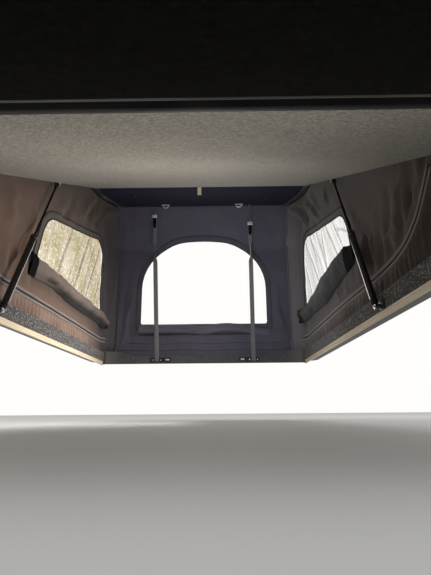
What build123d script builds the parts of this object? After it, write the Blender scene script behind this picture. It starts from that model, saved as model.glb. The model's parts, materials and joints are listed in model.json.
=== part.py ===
from build123d import *
from math import atan2, cos, hypot, radians, sin, tan
import os

os.makedirs("parts", exist_ok=True)

# Elevating roof of a camper van, raised. Millimetres, +Y to the front, +Z up.
# The origin is the centre of the four corner bolts, on the face that beds on the vehicle's roof.

# Opening and base frame
opening_width = 1150.0
opening_front = 1040.0
opening_rear = -1119.0
trim_thickness = 8.0
metal = 4.0
frame_height = 48.0
low_frame_height = 24.0
flange_reach = 72.0
rear_flange_reach = 63.0
lip_reach = 24.0
bolt_inset = 24.0
bolt_spacing_y = 1800.0
bolt_radius = 4.5
flange_corner_radius = 60.0

# Trim around the opening
trim_bottom = -2.0
trim_cap = 7.0
trim_round = 4.0
strip_height = 20.0
strip_width = 10.0
strip_round = 2.5
strip_groove = 3.0
strip_end_gap = 10.0
front_trim_bottom = -17.0
front_trim_top = 27.0
ear_rise = 9.0
ear_length = 118.0
ear_slope = 56.0
ear_round = 45.0
web_lap = 15.0
edge_round = 1.0
rear_board_depth = 121.0
rear_board_thickness = 8.0
rear_board_bottom = -22.0
rear_board_round = 5.0

# Rear hinge of the roof
hinge_y = -1150.0
hinge_z = 45.0
open_angle = 22.4
pin_radius = 5.0
running_gap = 0.05
arm_thickness = 8.0
arm_radius = 14.0
arm_reach = 180.0
arm_rise = 12.0
ear_thickness = 4.0
ear_gap = 1.0
ear_foot = 18.0
bracket_margin = 14.0
bracket_bolt_radius = 3.3

# Roof shell, measured along and above the hinge axis with the roof shut
shell_overhang = 89.0
shell_nose_length = 160.0
shell_wall = 4.0
shell_flange = 14.0
shell_tail = -50.0
shell_tail_rim = -20.0
shell_tail_top = 44.0
shell_rim = -35.0
brow_setback = 450.0
shell_brow_top = 132.0
nose_setback = 65.0
shell_nose_top = 32.0
crown_rise = 14.0
shell_draft = 14.0
shell_corner_radius = 110.0
shell_edge_radius = 40.0
brow_radius = 500.0
nose_radius = 120.0
seal_height = 8.0
seal_width = 10.0
seat_gap = 0.3

# Ceiling lining under the shell, on a plane that climbs to the front
lining_drop = 66.0
lining_slope = 4.4
lining_thickness = 12.0
lining_round = 5.0
lining_start = 84.0
lining_setback = 451.0
lining_lap = 10.0
edge_seal = 14.0
stringer_width = 36.0
stringer_clearance = 6.0
stringer_start = 60.0
stringer_front_gap = 19.0
stringer_reach = 300.0

# Nose panel and the front bow that carries the top of the tent
panel_start_up = 86.0
panel_end_up = 12.0
panel_thickness = 4.0
panel_clearance = 5.0
panel_gap = 2.0
bow_setback = 96.0
bow_depth = 25.0
bow_bottom = -2.0
bow_height = 60.0
bow_wall = 3.0

# Gas struts
strut_clearance = 19.0
strut_foot_y = -195.0
strut_foot_z = 9.0
strut_top_along = 1378.0
strut_top_drop = 3.0
tube_length = 340.0
tube_radius = 11.0
tube_wall = 2.0
rod_radius = 4.0
rod_overlap = 28.0
gland_length = 8.0
eye_radius = 9.0
eye_width = 10.0
stud_radius = 4.0
socket_radius = 7.0
neck_length = 9.0
foot_plate = 3.5
foot_plate_length = 40.0
foot_plate_height = 30.0
head_plate = 3.0
head_plate_length = 50.0
head_lap = 9.0
head_ear_width = 16.0
head_boss_radius = 8.0
bore_setback = 22.0
rod_tail_length = 6.0

# Tent: the side canvas turns each front corner and is sewn there to the front canvas
canvas = 2.0
canvas_stand_off = 13.0
canvas_head_gap = 4.0
canvas_lap = 6.0
seam_inset = 86.0
seam_turn = 3.0
corner_open = 95.0
corner_knee = 672.0
corner_foot_reach = 10.0
corner_reach = 83.0
corner_head_reach = 340.0
arch_half_width = 372.0
arch_sill = 210.0
arch_shoulder = 700.0
arch_top = 722.0

# Window films and flaps
film_thickness = 0.6
film_overlap = 12.0
flap_clearance = 1.0
front_flap_depth = 12.0
front_flap_height = 64.0
front_flap_top = 214.0

# Outlines in a side canvas: set back from the front of the opening, height, corner radius
side_window = (
    (978.0, 268.0, 20.0),
    (944.0, 455.0, 120.0),
    (172.0, 664.0, 100.0),
    (90.0, 268.0, 20.0),
)
side_flap = (
    (1010.0, 196.0, 12.0),
    (1014.0, 288.0, 25.0),
    (800.0, 318.0, 120.0),
    (320.0, 284.0, 200.0),
    (26.0, 282.0, 20.0),
    (40.0, 186.0, 20.0),
    (540.0, 200.0, 300.0),
)

# Fittings of the nose panel and the lining's front edge
catch_x = (-222.0, 215.0)
catch_along = 330.0
catch_width = 44.0
catch_plate = 2.5
catch_wire = 1.9
hook_x = (-373.0, 360.0)
hook_along = 165.0
hook_width = 14.0
hook_plate = 3.0
hook_plate_length = 34.0
hook_drop = 14.0
hook_reach = 12.0
tab_x = -5.0
tab_width = 20.0
tab_length = 53.0
tab_thickness = 2.0

# Straps that hold the front of the roof down, each from its plate to the panel
strap_runs = (
    # side, foot x, head x, plate centre x, side of the plate that carries the socket
    ("left", -268.0, -290.0, -245.0, 1),
    ("right", 284.0, 278.0, 259.0, -1),
)
strap_width = 25.0
strap_thickness = 1.6
strap_bottom = -6.0
strap_head_setback = 26.0
plate_length = 118.0
plate_height = 26.0
plate_thickness = 3.0
plate_rise = 4.0
socket_length = 36.0
socket_height = 18.0
socket_depth = 7.0

# What follows from those sizes
frame_inner_x = opening_width / 2 + trim_thickness
frame_front = opening_front + trim_thickness
frame_rear = opening_rear - trim_thickness
flange_front = frame_front + flange_reach
flange_rear = frame_rear - rear_flange_reach
ear_top_x = frame_inner_x - ear_length
ear_foot_x = ear_top_x - ear_slope
low_front_half_width = ear_top_x + web_lap
stringer_outer = opening_width / 2 - stringer_clearance
stringer_inner = stringer_outer - stringer_width
lining_half_width = stringer_inner + lining_lap
strut_x = opening_width / 2 - strut_clearance
canvas_foot_x = frame_inner_x + canvas_stand_off
canvas_head_x = stringer_outer + canvas_head_gap
seam_x = canvas_foot_x - seam_inset
shell_half_width = frame_inner_x + shell_overhang
shell_front = opening_front - hinge_y + shell_nose_length
shell_nose = shell_front - nose_setback
shell_brow = shell_front - brow_setback
lining_end = shell_front - lining_setback
stringer_end = lining_end - stringer_front_gap
bow_back = shell_front - bow_setback
panel_start = lining_end + panel_gap
panel_end = bow_back - seat_gap

lean = radians(open_angle)
lining_lean = radians(open_angle + lining_slope)
hinge = (0, hinge_y, hinge_z)
lining_origin = (0, hinge_y + lining_drop * sin(lean), hinge_z - lining_drop * cos(lean))
panel_fall = atan2(panel_start_up - panel_end_up, panel_end - panel_start)
panel_lean = lean - panel_fall
panel_run = (panel_end - panel_start) / cos(panel_fall) - panel_thickness * sin(panel_fall)

# Side planes are sketched as (forward, up); flat planes as (right, forward)
roof_side = Plane(origin=hinge, x_dir=(0, cos(lean), sin(lean)), z_dir=(1, 0, 0))
roof_flat = Plane(origin=hinge, x_dir=(1, 0, 0), z_dir=(0, -sin(lean), cos(lean)))
lining_side = Plane(
    origin=lining_origin, x_dir=(0, cos(lining_lean), sin(lining_lean)), z_dir=(1, 0, 0)
)
panel_origin = roof_side.from_local_coords((panel_start, panel_start_up, 0))
panel_side = Plane(
    origin=panel_origin, x_dir=(0, cos(panel_lean), sin(panel_lean)), z_dir=(1, 0, 0)
)
panel_flat = Plane(
    origin=panel_origin, x_dir=(1, 0, 0), z_dir=(0, -sin(panel_lean), cos(panel_lean))
)
sides = (("left", -1), ("right", 1))


def save(piece, label):
    piece.part.label = label
    export_step(piece.part, f"parts/{label}.step")


def rounded_outline(plane, corners, grow=0.0):
    """Outline from a table of (across, up, corner radius), grown by a margin."""
    with BuildSketch(plane) as outline:
        with BuildLine():
            FilletPolyline(
                *[(across, up) for across, up, _ in corners],
                radius=[radius for _, _, radius in corners],
                close=True,
            )
        make_face()
        if grow:
            offset(amount=grow)
    return outline.sketch


# Base frame: a flange on the vehicle's roof, an upright web and a lip for the tent
frame_length = frame_front - frame_rear
frame_centre = (frame_front + frame_rear) / 2
bolt_x = frame_inner_x + flange_reach - bolt_inset
with BuildPart() as base_frame:
    with BuildSketch(Plane.XY):
        with Locations((0, (flange_front + flange_rear) / 2)):
            RectangleRounded(
                2 * (frame_inner_x + flange_reach), flange_front - flange_rear, flange_corner_radius
            )
        with Locations((0, frame_centre)):
            Rectangle(2 * frame_inner_x, frame_length, mode=Mode.SUBTRACT)
        with GridLocations(2 * bolt_x, bolt_spacing_y, 2, 2):
            Circle(bolt_radius, mode=Mode.SUBTRACT)
    extrude(amount=metal)
    with BuildSketch(Plane.XY):
        with Locations((0, frame_centre)):
            Rectangle(2 * (frame_inner_x + metal), frame_length + 2 * metal)
            Rectangle(2 * frame_inner_x, frame_length, mode=Mode.SUBTRACT)
    extrude(amount=frame_height)
    with BuildSketch(Plane.XY.offset(low_frame_height)):
        with Locations((0, frame_front)):
            Rectangle(2 * low_front_half_width, 4 * metal)
        with Locations((0, frame_rear)):
            Rectangle(2 * (frame_inner_x + metal), 4 * metal)
    extrude(amount=frame_height, mode=Mode.SUBTRACT)
    with BuildSketch(Plane.XY.offset(frame_height - metal)):
        for _, sign in sides:
            with Locations((sign * (frame_inner_x + lip_reach / 2), frame_centre)):
                Rectangle(lip_reach, frame_length)
    extrude(amount=metal)
save(base_frame, "base_frame")

# Carpeted trim on the inside of each rail, turned over its top
trim_top = frame_height + metal
for side, sign in sides:
    with BuildPart() as side_trim:
        with BuildSketch(Plane.XZ.offset(-opening_front)):
            with BuildLine():
                inner = sign * opening_width / 2
                outer = sign * frame_inner_x
                cap = sign * (frame_inner_x + trim_cap)
                Polyline(
                    (inner, trim_bottom), (inner, trim_top), (cap, trim_top),
                    (cap, frame_height), (outer, frame_height), (outer, trim_bottom),
                    close=True,
                )
            outline = make_face()
            fillet(outline.vertices().sort_by_distance((inner, trim_top))[0], trim_round)
        extrude(amount=opening_front - opening_rear)
    save(side_trim, f"side_trim_{side}")

# Pale strip along the lower edge of each side trim, with a groove down its inner face
strip_front = opening_front - strip_end_gap
strip_middle = trim_bottom - strip_height / 2
for side, sign in sides:
    with BuildPart() as edge_strip:
        with BuildSketch(Plane.XZ.offset(-strip_front)):
            with Locations((sign * (opening_width + strip_width) / 2, strip_middle)):
                RectangleRounded(strip_width, strip_height, strip_round)
            with Locations((sign * opening_width / 2, strip_middle)):
                Rectangle(strip_groove, strip_groove, mode=Mode.SUBTRACT)
        extrude(amount=strip_front - opening_rear)
    save(edge_strip, f"edge_strip_{side}")

# Felt trim across the front, swept up to an ear at each corner
ear_top = frame_height + ear_rise
with BuildPart() as front_trim:
    with BuildSketch(Plane.XZ.offset(-frame_front)):
        with BuildLine():
            FilletPolyline(
                (-frame_inner_x, front_trim_bottom), (-frame_inner_x, ear_top),
                (-ear_top_x, ear_top - ear_rise / 2), (-ear_foot_x, front_trim_top),
                (ear_foot_x, front_trim_top), (ear_top_x, ear_top - ear_rise / 2),
                (frame_inner_x, ear_top), (frame_inner_x, front_trim_bottom),
                radius=[edge_round, edge_round, *[ear_round] * 4, edge_round, edge_round],
                close=True,
            )
        make_face()
    extrude(amount=trim_thickness)
save(front_trim, "front_trim")

# Black carpeted board that closes the opening at the hinge end
board_front = opening_rear
board_back = opening_rear - rear_board_depth
board_top = rear_board_bottom + rear_board_thickness
with BuildPart() as rear_board:
    with BuildSketch(Plane.YZ.offset(-opening_width / 2)):
        with BuildLine():
            FilletPolyline(
                (board_front, rear_board_bottom), (board_front, low_frame_height + 2),
                (frame_rear, low_frame_height + 2), (frame_rear, board_top),
                (board_back, board_top), (board_back, rear_board_bottom),
                radius=[rear_board_round, *[edge_round] * 5],
                close=True,
            )
        make_face()
    extrude(amount=opening_width)
save(rear_board, "rear_board")

# Hinge: two forked brackets on the rear flange, a pin in each, and two arms on the roof
fork_half = arm_thickness / 2 + ear_gap + ear_thickness
hinge_x = stringer_inner - arm_thickness / 2
bracket_half = fork_half + bracket_margin
with BuildPart() as hinge_brackets:
    for _, sign in sides:
        with BuildSketch(Plane.XY.offset(metal)):
            with Locations((sign * hinge_x, hinge_y)):
                RectangleRounded(2 * bracket_half, 2 * ear_foot, bracket_bolt_radius)
                with GridLocations(2 * fork_half + bracket_margin, ear_foot, 2, 2):
                    Circle(bracket_bolt_radius, mode=Mode.SUBTRACT)
        extrude(amount=metal)
        for ear in (-1, 1):
            start = sign * hinge_x + ear * (fork_half - ear_thickness / 2) - ear_thickness / 2
            with BuildSketch(Plane.YZ.offset(start)):
                with BuildLine():
                    Polyline(
                        (hinge_y - ear_foot, metal), (hinge_y + ear_foot, metal),
                        (hinge_y + arm_radius - 2, hinge_z), (hinge_y - arm_radius + 2, hinge_z),
                        close=True,
                    )
                make_face()
                with Locations((hinge_y, hinge_z)):
                    Circle(arm_radius - 2)
                    Circle(pin_radius + running_gap, mode=Mode.SUBTRACT)
            extrude(amount=ear_thickness)
save(hinge_brackets, "hinge_brackets")

with BuildPart() as hinge_pins:
    for _, sign in sides:
        with BuildSketch(Plane.YZ.offset(sign * hinge_x - fork_half - 1)):
            with Locations((hinge_y, hinge_z)):
                Circle(pin_radius)
        extrude(amount=2 * fork_half + 2)
save(hinge_pins, "hinge_pins")

# The arms lie against the inner faces of the stringers
with BuildPart() as hinge_arms:
    for _, sign in sides:
        with BuildSketch(roof_side.offset(sign * hinge_x - arm_thickness / 2)):
            Circle(arm_radius)
            with BuildLine():
                Polyline(
                    (0, -arm_radius), (arm_reach, arm_rise - arm_radius),
                    (arm_reach, arm_rise + arm_radius), (0, arm_radius),
                    close=True,
                )
            make_face()
            Circle(pin_radius + running_gap, mode=Mode.SUBTRACT)
        extrude(amount=arm_thickness)
save(hinge_arms, "hinge_arms")

# Roof shell: crowned top, upright sides, sloping nose; hollow from below, with a turned-in rim
shell_slope = atan2(shell_brow_top - shell_tail_top, shell_brow - shell_tail)
crown_plane = Plane(
    origin=roof_side.from_local_coords((shell_tail - 100, shell_tail_top, 0)),
    x_dir=(-1, 0, 0),
    z_dir=(0, cos(lean + shell_slope), sin(lean + shell_slope)),
)
shell_length = shell_front - shell_tail
shell_centre = (shell_front + shell_tail) / 2


def shell_form(inset, bottom):
    """The solid under the shell's skin, drawn in by an inset all round and open to a level below."""
    half_width = shell_half_width - inset
    top_half_width = half_width - shell_draft
    with BuildPart() as form:
        with BuildSketch(roof_side.offset(-half_width)) as side_outline:
            with BuildLine():
                Polyline(
                    (shell_tail + inset, bottom + shell_tail_rim - shell_rim),
                    (shell_tail + inset, shell_tail_top + 20),
                    (shell_brow, shell_brow_top + 10 - inset),
                    (shell_nose - inset / 4, shell_nose_top - inset),
                    (shell_front - inset + (shell_rim - bottom), bottom),
                    (0, bottom),
                    close=True,
                )
            make_face()
            fillet(side_outline.vertices().sort_by(Axis.X)[3], brow_radius - inset)
            fillet(side_outline.vertices().sort_by(Axis.X)[-2], nose_radius - inset)
        extrude(amount=2 * half_width)
        with BuildSketch(crown_plane) as crown_outline:
            with BuildLine():
                crown = ThreePointArc(
                    (-top_half_width, -crown_rise - inset), (0, -inset),
                    (top_half_width, -crown_rise - inset),
                )
                Polyline(
                    crown @ 1, (half_width, -180), (half_width, -400),
                    (-half_width, -400), (-half_width, -180), crown @ 0,
                )
            make_face()
            shoulders = crown_outline.vertices().group_by(Axis.Y)[-1]
            fillet(shoulders, shell_edge_radius - inset)
        extrude(amount=shell_front + 400, mode=Mode.INTERSECT)
        with BuildSketch(roof_flat.offset(bottom)):
            with Locations((0, shell_centre)):
                RectangleRounded(
                    2 * half_width, shell_length - 2 * inset, shell_corner_radius - inset
                )
        extrude(amount=300, mode=Mode.INTERSECT)
    return form


with BuildPart() as roof_shell:
    add(shell_form(0, shell_rim))
    add(shell_form(shell_wall, shell_rim + shell_wall), mode=Mode.SUBTRACT)
    add(shell_form(shell_flange, shell_rim - 20), mode=Mode.SUBTRACT)
save(roof_shell, "roof_shell")

# Rubber seal under the rim, along both sides and round the nose
with BuildPart() as rim_seal:
    with BuildSketch(roof_flat.offset(shell_rim - seal_height)):
        with Locations((0, shell_centre)):
            RectangleRounded(2 * shell_half_width - 2, shell_length - 2, shell_corner_radius - 1)
            RectangleRounded(
                2 * (shell_half_width - seal_width), shell_length - 2 * seal_width,
                shell_corner_radius - seal_width, mode=Mode.SUBTRACT,
            )
        with Locations((0, shell_tail)):
            Rectangle(2 * shell_half_width, 160, mode=Mode.SUBTRACT)
    extrude(amount=seal_height - seat_gap)
save(rim_seal, "rim_seal")

# Stringers bonded inside the shell, one along each side, above the lining's edge
with BuildPart() as roof_stringers:
    for _, sign in sides:
        start = sign * (stringer_inner + stringer_outer) / 2 - stringer_width / 2
        with BuildSketch(lining_side.offset(start)):
            with Locations((
                (stringer_start + stringer_end) / 2,
                lining_thickness + seat_gap + stringer_reach / 2,
            )):
                Rectangle(stringer_end - stringer_start, stringer_reach)
        extrude(amount=stringer_width)
    add(shell_form(shell_wall + seat_gap, shell_rim - 60), mode=Mode.INTERSECT)
save(roof_stringers, "roof_stringers")

# Felt-covered ceiling board with a rounded front edge, and a rubber edging across its rear end
with BuildPart() as roof_lining:
    with BuildSketch(lining_side.offset(-lining_half_width)):
        with BuildLine():
            FilletPolyline(
                (lining_start, 0), (lining_end, 0),
                (lining_end, lining_thickness), (lining_start, lining_thickness),
                radius=[edge_round, lining_round, edge_round, edge_round],
                close=True,
            )
        make_face()
    extrude(amount=2 * lining_half_width)
save(roof_lining, "roof_lining")

with BuildPart() as lining_edge:
    with BuildSketch(lining_side.offset(-lining_half_width)):
        with Locations((lining_start - edge_seal / 2, lining_thickness / 2 - 1)):
            RectangleRounded(edge_seal, lining_thickness + 2, 3)
    extrude(amount=2 * lining_half_width)
save(lining_edge, "lining_edge")

# Gas struts: tube hung on the rail, rod hung on the roof
strut_top = lining_side.from_local_coords((strut_top_along, -strut_top_drop, 0))
strut_rise = strut_top.Z - strut_foot_z
strut_run = strut_top.Y - strut_foot_y
strut_length = hypot(strut_run, strut_rise)
strut_lean = atan2(strut_rise, strut_run)
strut_side = Plane(
    origin=(0, strut_foot_y, strut_foot_z),
    x_dir=(0, cos(strut_lean), sin(strut_lean)),
    z_dir=(1, 0, 0),
)


def along_strut(sign, distance):
    """Plane square to a strut's axis, a distance up from its foot."""
    y = strut_foot_y + distance * cos(strut_lean)
    z = strut_foot_z + distance * sin(strut_lean)
    return Plane(
        origin=(sign * strut_x, y, z),
        x_dir=(1, 0, 0),
        z_dir=(0, cos(strut_lean), sin(strut_lean)),
    )


tube_start = eye_radius + neck_length
bore_start = tube_start + bore_setback
for side, sign in sides:
    with BuildPart() as strut_tube:
        with BuildSketch(strut_side.offset(sign * strut_x - eye_width / 2)):
            Circle(eye_radius)
            with Locations((eye_radius + 4, 0)):
                Rectangle(2 * eye_radius, eye_width)
            Circle(stud_radius + running_gap, mode=Mode.SUBTRACT)
        extrude(amount=eye_width)
        with BuildSketch(along_strut(sign, tube_start)):
            Circle(tube_radius)
        extrude(amount=tube_length - tube_start)
        rims = strut_tube.edges().filter_by(GeomType.CIRCLE).sort_by(Axis.Z)
        chamfer(rims[-1], tube_wall)
        with BuildSketch(along_strut(sign, bore_start)):
            Circle(tube_radius - tube_wall)
        extrude(amount=tube_length - bore_start - gland_length, mode=Mode.SUBTRACT)
        with BuildSketch(along_strut(sign, tube_length - 2 * gland_length)):
            Circle(rod_radius + running_gap)
        extrude(amount=3 * gland_length, mode=Mode.SUBTRACT)
    save(strut_tube, f"strut_tube_{side}")

    with BuildPart() as strut_rod:
        with BuildSketch(strut_side.offset(sign * strut_x - eye_width / 2)):
            with Locations((strut_length, 0)):
                Circle(socket_radius)
            with Locations((strut_length - socket_radius - 4, 0)):
                Rectangle(2 * socket_radius, 8)
        extrude(amount=eye_width)
        with BuildSketch(along_strut(sign, tube_length - rod_overlap)):
            Circle(rod_radius)
        extrude(amount=strut_length - tube_length + rod_overlap - socket_radius - rod_tail_length)
    save(strut_rod, f"strut_rod_{side}")

# Feet of the struts: a plate on the side trim with a boss and a stud through the tube's eye
with BuildPart() as strut_feet:
    for _, sign in sides:
        face = sign * opening_width / 2
        plate_start = min(face, face - sign * foot_plate)
        with BuildSketch(Plane.YZ.offset(plate_start)):
            with Locations((strut_foot_y, strut_foot_z + 3)):
                RectangleRounded(foot_plate_length, foot_plate_height, 4)
        extrude(amount=foot_plate)
        stud_end = sign * (strut_x - eye_width / 2 - 1)
        with BuildSketch(Plane.YZ.offset(min(stud_end, face - sign * foot_plate))):
            with Locations((strut_foot_y, strut_foot_z)):
                Circle(stud_radius)
        extrude(amount=abs(face - stud_end) - foot_plate)
        boss_end = sign * (strut_x + eye_width / 2 + 1)
        with BuildSketch(Plane.YZ.offset(min(boss_end, face - sign * foot_plate))):
            with Locations((strut_foot_y, strut_foot_z)):
                Circle(1.7 * stud_radius)
        extrude(amount=abs(face - boss_end) - foot_plate)
save(strut_feet, "strut_feet")

# Heads of the struts: an angle under each stringer with a stud beside the rod's socket
head_ear_x = strut_x + eye_width / 2 + 1.5
with BuildPart() as strut_heads:
    for _, sign in sides:
        inner = min(sign * (strut_x - head_lap), sign * stringer_outer)
        with BuildSketch(lining_side.offset(inner)):
            with Locations((strut_top_along, lining_thickness - head_plate / 2)):
                Rectangle(head_plate_length, head_plate)
        extrude(amount=stringer_outer - strut_x + head_lap)
        ear = min(sign * head_ear_x, sign * (head_ear_x + head_plate))
        with BuildSketch(lining_side.offset(ear)):
            with Locations((strut_top_along, lining_thickness / 2 - 1)):
                Rectangle(head_ear_width, lining_thickness + 2)
            with Locations((strut_top_along, -strut_top_drop)):
                Circle(head_boss_radius)
        extrude(amount=head_plate)
        stud_start = sign * (strut_x + eye_width / 2 + seat_gap)
        with BuildSketch(lining_side.offset(min(stud_start, sign * head_ear_x))):
            with Locations((strut_top_along, -strut_top_drop)):
                Circle(stud_radius)
        extrude(amount=abs(head_ear_x - abs(stud_start)))
save(strut_heads, "strut_heads")

# Heights and faces of the tent
canvas_bottom = frame_height + seat_gap
front_foot_y = frame_front + metal + seat_gap
side_top = lining_side.from_local_coords((lining_end, canvas_lap, 0))
side_tail = lining_side.from_local_coords((lining_start, canvas_lap, 0))
panel_tip = panel_side.from_local_coords((panel_run, 0, 0))
front_top = panel_side.from_local_coords((panel_run - canvas_lap, -seat_gap - 1, 0))
canvas_tilt = atan2(canvas_foot_x - canvas_head_x, front_top.Z)


def front_face(height):
    """How far forward the inner face of the front canvas stands at a height."""
    if height <= frame_height:
        return front_foot_y
    if height <= corner_knee:
        share = (height - frame_height) / (corner_knee - frame_height)
        return front_foot_y + share * (opening_front - front_foot_y)
    share = (height - corner_knee) / (front_top.Z - corner_knee)
    return opening_front + share * (front_top.Y - opening_front)


def wall_face(height):
    """How far out the middle of a side canvas stands at a height."""
    return canvas_foot_x - height * tan(canvas_tilt)


def corner_band(sign, height, reach, inset, thickness):
    """Level slice of a band that runs along a side canvas and turns its front corner.

    The reach is how far back from the front the turn starts. The band lies an inset
    inside the canvas's outer face.
    """
    outer_x = wall_face(height) + canvas / 2
    reach_x = min(reach, outer_x - seam_x - seam_turn)
    turn = 2 * atan2(reach_x, reach)
    front = front_face(height) + canvas
    faces = []
    with BuildSketch(Plane.XY.offset(height)) as band:
        with BuildLine():
            for depth in (inset, inset + thickness):
                wall = Line(
                    (sign * (outer_x - depth), side_tail.Y),
                    (sign * (outer_x - depth), front - reach),
                )
                bend = TangentArc(
                    wall @ 1,
                    (sign * (outer_x - reach_x - depth * cos(turn)), front - depth * sin(turn)),
                    tangent=(0, 1),
                )
                face = Line(bend @ 1, (sign * seam_x, front - depth))
                faces.append((wall @ 0, face @ 1))
            Line(faces[0][0], faces[1][0])
            Line(faces[0][1], faces[1][1])
        make_face()
    return band.sketch


def side_outline(corners, grow=0.0):
    """Outline in the side view, from a table set back from the front of the opening."""
    flat = [(opening_front - setback, height, radius) for setback, height, radius in corners]
    return rounded_outline(Plane.YZ, flat, grow)


# Side canvases from the rails to the stringers and round to the front, with their windows
corner_levels = (
    # height, how far back the corner's turn starts
    (canvas_bottom, corner_foot_reach),
    (corner_open, corner_reach),
    (corner_knee, corner_reach),
    (front_top.Z, corner_head_reach),
)
for side, sign in sides:
    with BuildPart() as tent_side:
        loft(
            [corner_band(sign, height, reach, 0, canvas) for height, reach in corner_levels],
            ruled=True,
        )
        with BuildSketch(Plane.YZ.offset(sign * seam_x - sign * canvas)):
            with BuildLine():
                Polyline(
                    (side_tail.Y + 20, canvas_bottom), (flange_front, canvas_bottom),
                    (flange_front, front_top.Z), (front_top.Y, front_top.Z),
                    (side_top.Y, side_top.Z),
                    close=True,
                )
            make_face()
        extrude(amount=sign * 2 * seam_inset, mode=Mode.INTERSECT)
        extrude(side_outline(side_window), amount=sign * 2 * canvas_foot_x, mode=Mode.SUBTRACT)
    save(tent_side, f"tent_{side}")

# Front canvas: hung in front of the frame, leaning back above its knee, with an arched window
arch_window = (
    # across, height, corner radius
    (-arch_half_width, arch_sill, 12.0),
    (-arch_half_width, arch_shoulder, 290.0),
    (0.0, arch_top, 1100.0),
    (arch_half_width, arch_shoulder, 290.0),
    (arch_half_width, arch_sill, 12.0),
)
front_levels = (metal + seat_gap, frame_height, corner_knee, front_top.Z)
with BuildPart() as tent_front:
    with BuildSketch(Plane.YZ.offset(-frame_inner_x)):
        with BuildLine():
            Polyline(
                *[(front_face(height), height) for height in front_levels],
                *[(front_face(height) + canvas, height) for height in reversed(front_levels)],
                close=True,
            )
        make_face()
    extrude(amount=2 * frame_inner_x)
    for _, sign in sides:
        with BuildSketch(Plane.XZ.offset(-flange_front)):
            with Locations((sign * (seam_x - seat_gap + seam_inset), frame_height + front_top.Z / 2)):
                Rectangle(2 * seam_inset, front_top.Z)
        extrude(amount=flange_front, mode=Mode.SUBTRACT)
    extrude(rounded_outline(Plane.XZ, arch_window), amount=-flange_front, mode=Mode.SUBTRACT)
save(tent_front, "tent_front")

# Dark panel under the nose, drawn in to follow the heads of the canvases
panel_rear_x = wall_face(panel_origin.Z) - canvas - panel_clearance
panel_nose_x = seam_x - panel_clearance
panel_bend = panel_run - (corner_head_reach - panel_clearance) / cos(panel_lean)
with BuildPart() as nose_panel:
    with BuildSketch(panel_flat):
        with BuildLine():
            rear = Line((-panel_rear_x, 0), (panel_rear_x, 0))
            right = Line(rear @ 1, (panel_rear_x, panel_bend))
            right_bend = TangentArc(right @ 1, (panel_nose_x, panel_run), tangent=(0, 1))
            nose = Line(right_bend @ 1, (-panel_nose_x, panel_run))
            left = Line(rear @ 0, (-panel_rear_x, panel_bend))
            TangentArc(left @ 1, nose @ 1, tangent=(0, 1))
        make_face()
    extrude(amount=panel_thickness)
save(nose_panel, "nose_panel")

# Bow: an angle across the nose, its upright bonded under the shell
with BuildPart() as front_bow:
    with BuildSketch(roof_side.offset(-panel_nose_x)):
        with Locations((bow_back + bow_wall / 2, bow_bottom + bow_height / 2)):
            Rectangle(bow_wall, bow_height)
        with Locations((bow_back + bow_depth / 2, bow_bottom + bow_wall / 2)):
            Rectangle(bow_depth, bow_wall)
    extrude(amount=2 * panel_nose_x)
    add(shell_form(shell_wall + seat_gap, shell_rim), mode=Mode.INTERSECT)
save(front_bow, "front_bow")

# Plates on the front trim, each with a socket at its inner end
with BuildPart() as strap_plates:
    for _, _, _, plate_x, inner_end in strap_runs:
        with BuildSketch(Plane.XZ.offset(-opening_front)):
            with Locations((plate_x, plate_rise)):
                RectangleRounded(plate_length, plate_height, 4)
        extrude(amount=plate_thickness)
        socket_x = plate_x + inner_end * (plate_length - socket_length - 6) / 2
        with BuildSketch(Plane.XZ.offset(-opening_front)):
            with Locations((socket_x, plate_rise)):
                RectangleRounded(socket_length, socket_height, 2)
        extrude(amount=socket_depth)
save(strap_plates, "strap_plates")

# Webbing straps from the plates up to the panel
strap_foot = (opening_front - plate_thickness - strap_thickness / 2 - seat_gap, strap_bottom)
strap_tip = panel_side.from_local_coords((panel_run - strap_head_setback, -strap_thickness, 0))
strap_lean = atan2(strap_tip.Z - strap_foot[1], strap_tip.Y - strap_foot[0])
strap_length = hypot(strap_tip.Z - strap_foot[1], strap_tip.Y - strap_foot[0])
for side, foot_x, head_x, _, _ in strap_runs:
    with BuildPart() as strap:
        with BuildSketch(Plane(
            origin=(0, strap_foot[0], strap_foot[1]), x_dir=(1, 0, 0),
            z_dir=(0, -sin(strap_lean), cos(strap_lean)),
        )):
            with BuildLine():
                Polyline(
                    (foot_x - strap_width / 2, 0), (foot_x + strap_width / 2, 0),
                    (head_x + strap_width / 2, strap_length), (head_x - strap_width / 2, strap_length),
                    close=True,
                )
            make_face()
        extrude(amount=strap_thickness / 2, both=True)
    save(strap, f"strap_{side}")

# Films of the side windows, each just outside its opening
film_out = (canvas + film_thickness) / 2 + seat_gap
for side, sign in sides:
    film_plane = Plane(
        origin=(sign * (canvas_foot_x + film_out), 0, 0),
        x_dir=(0, 1, 0),
        z_dir=(cos(canvas_tilt), 0, sign * sin(canvas_tilt)),
    )
    film_corners = [(opening_front - setback, height, radius) for setback, height, radius in side_window]
    with BuildPart() as window_film:
        extrude(
            rounded_outline(film_plane, film_corners, film_overlap),
            amount=film_thickness / 2, both=True,
        )
    save(window_film, f"window_film_{side}")

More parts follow.
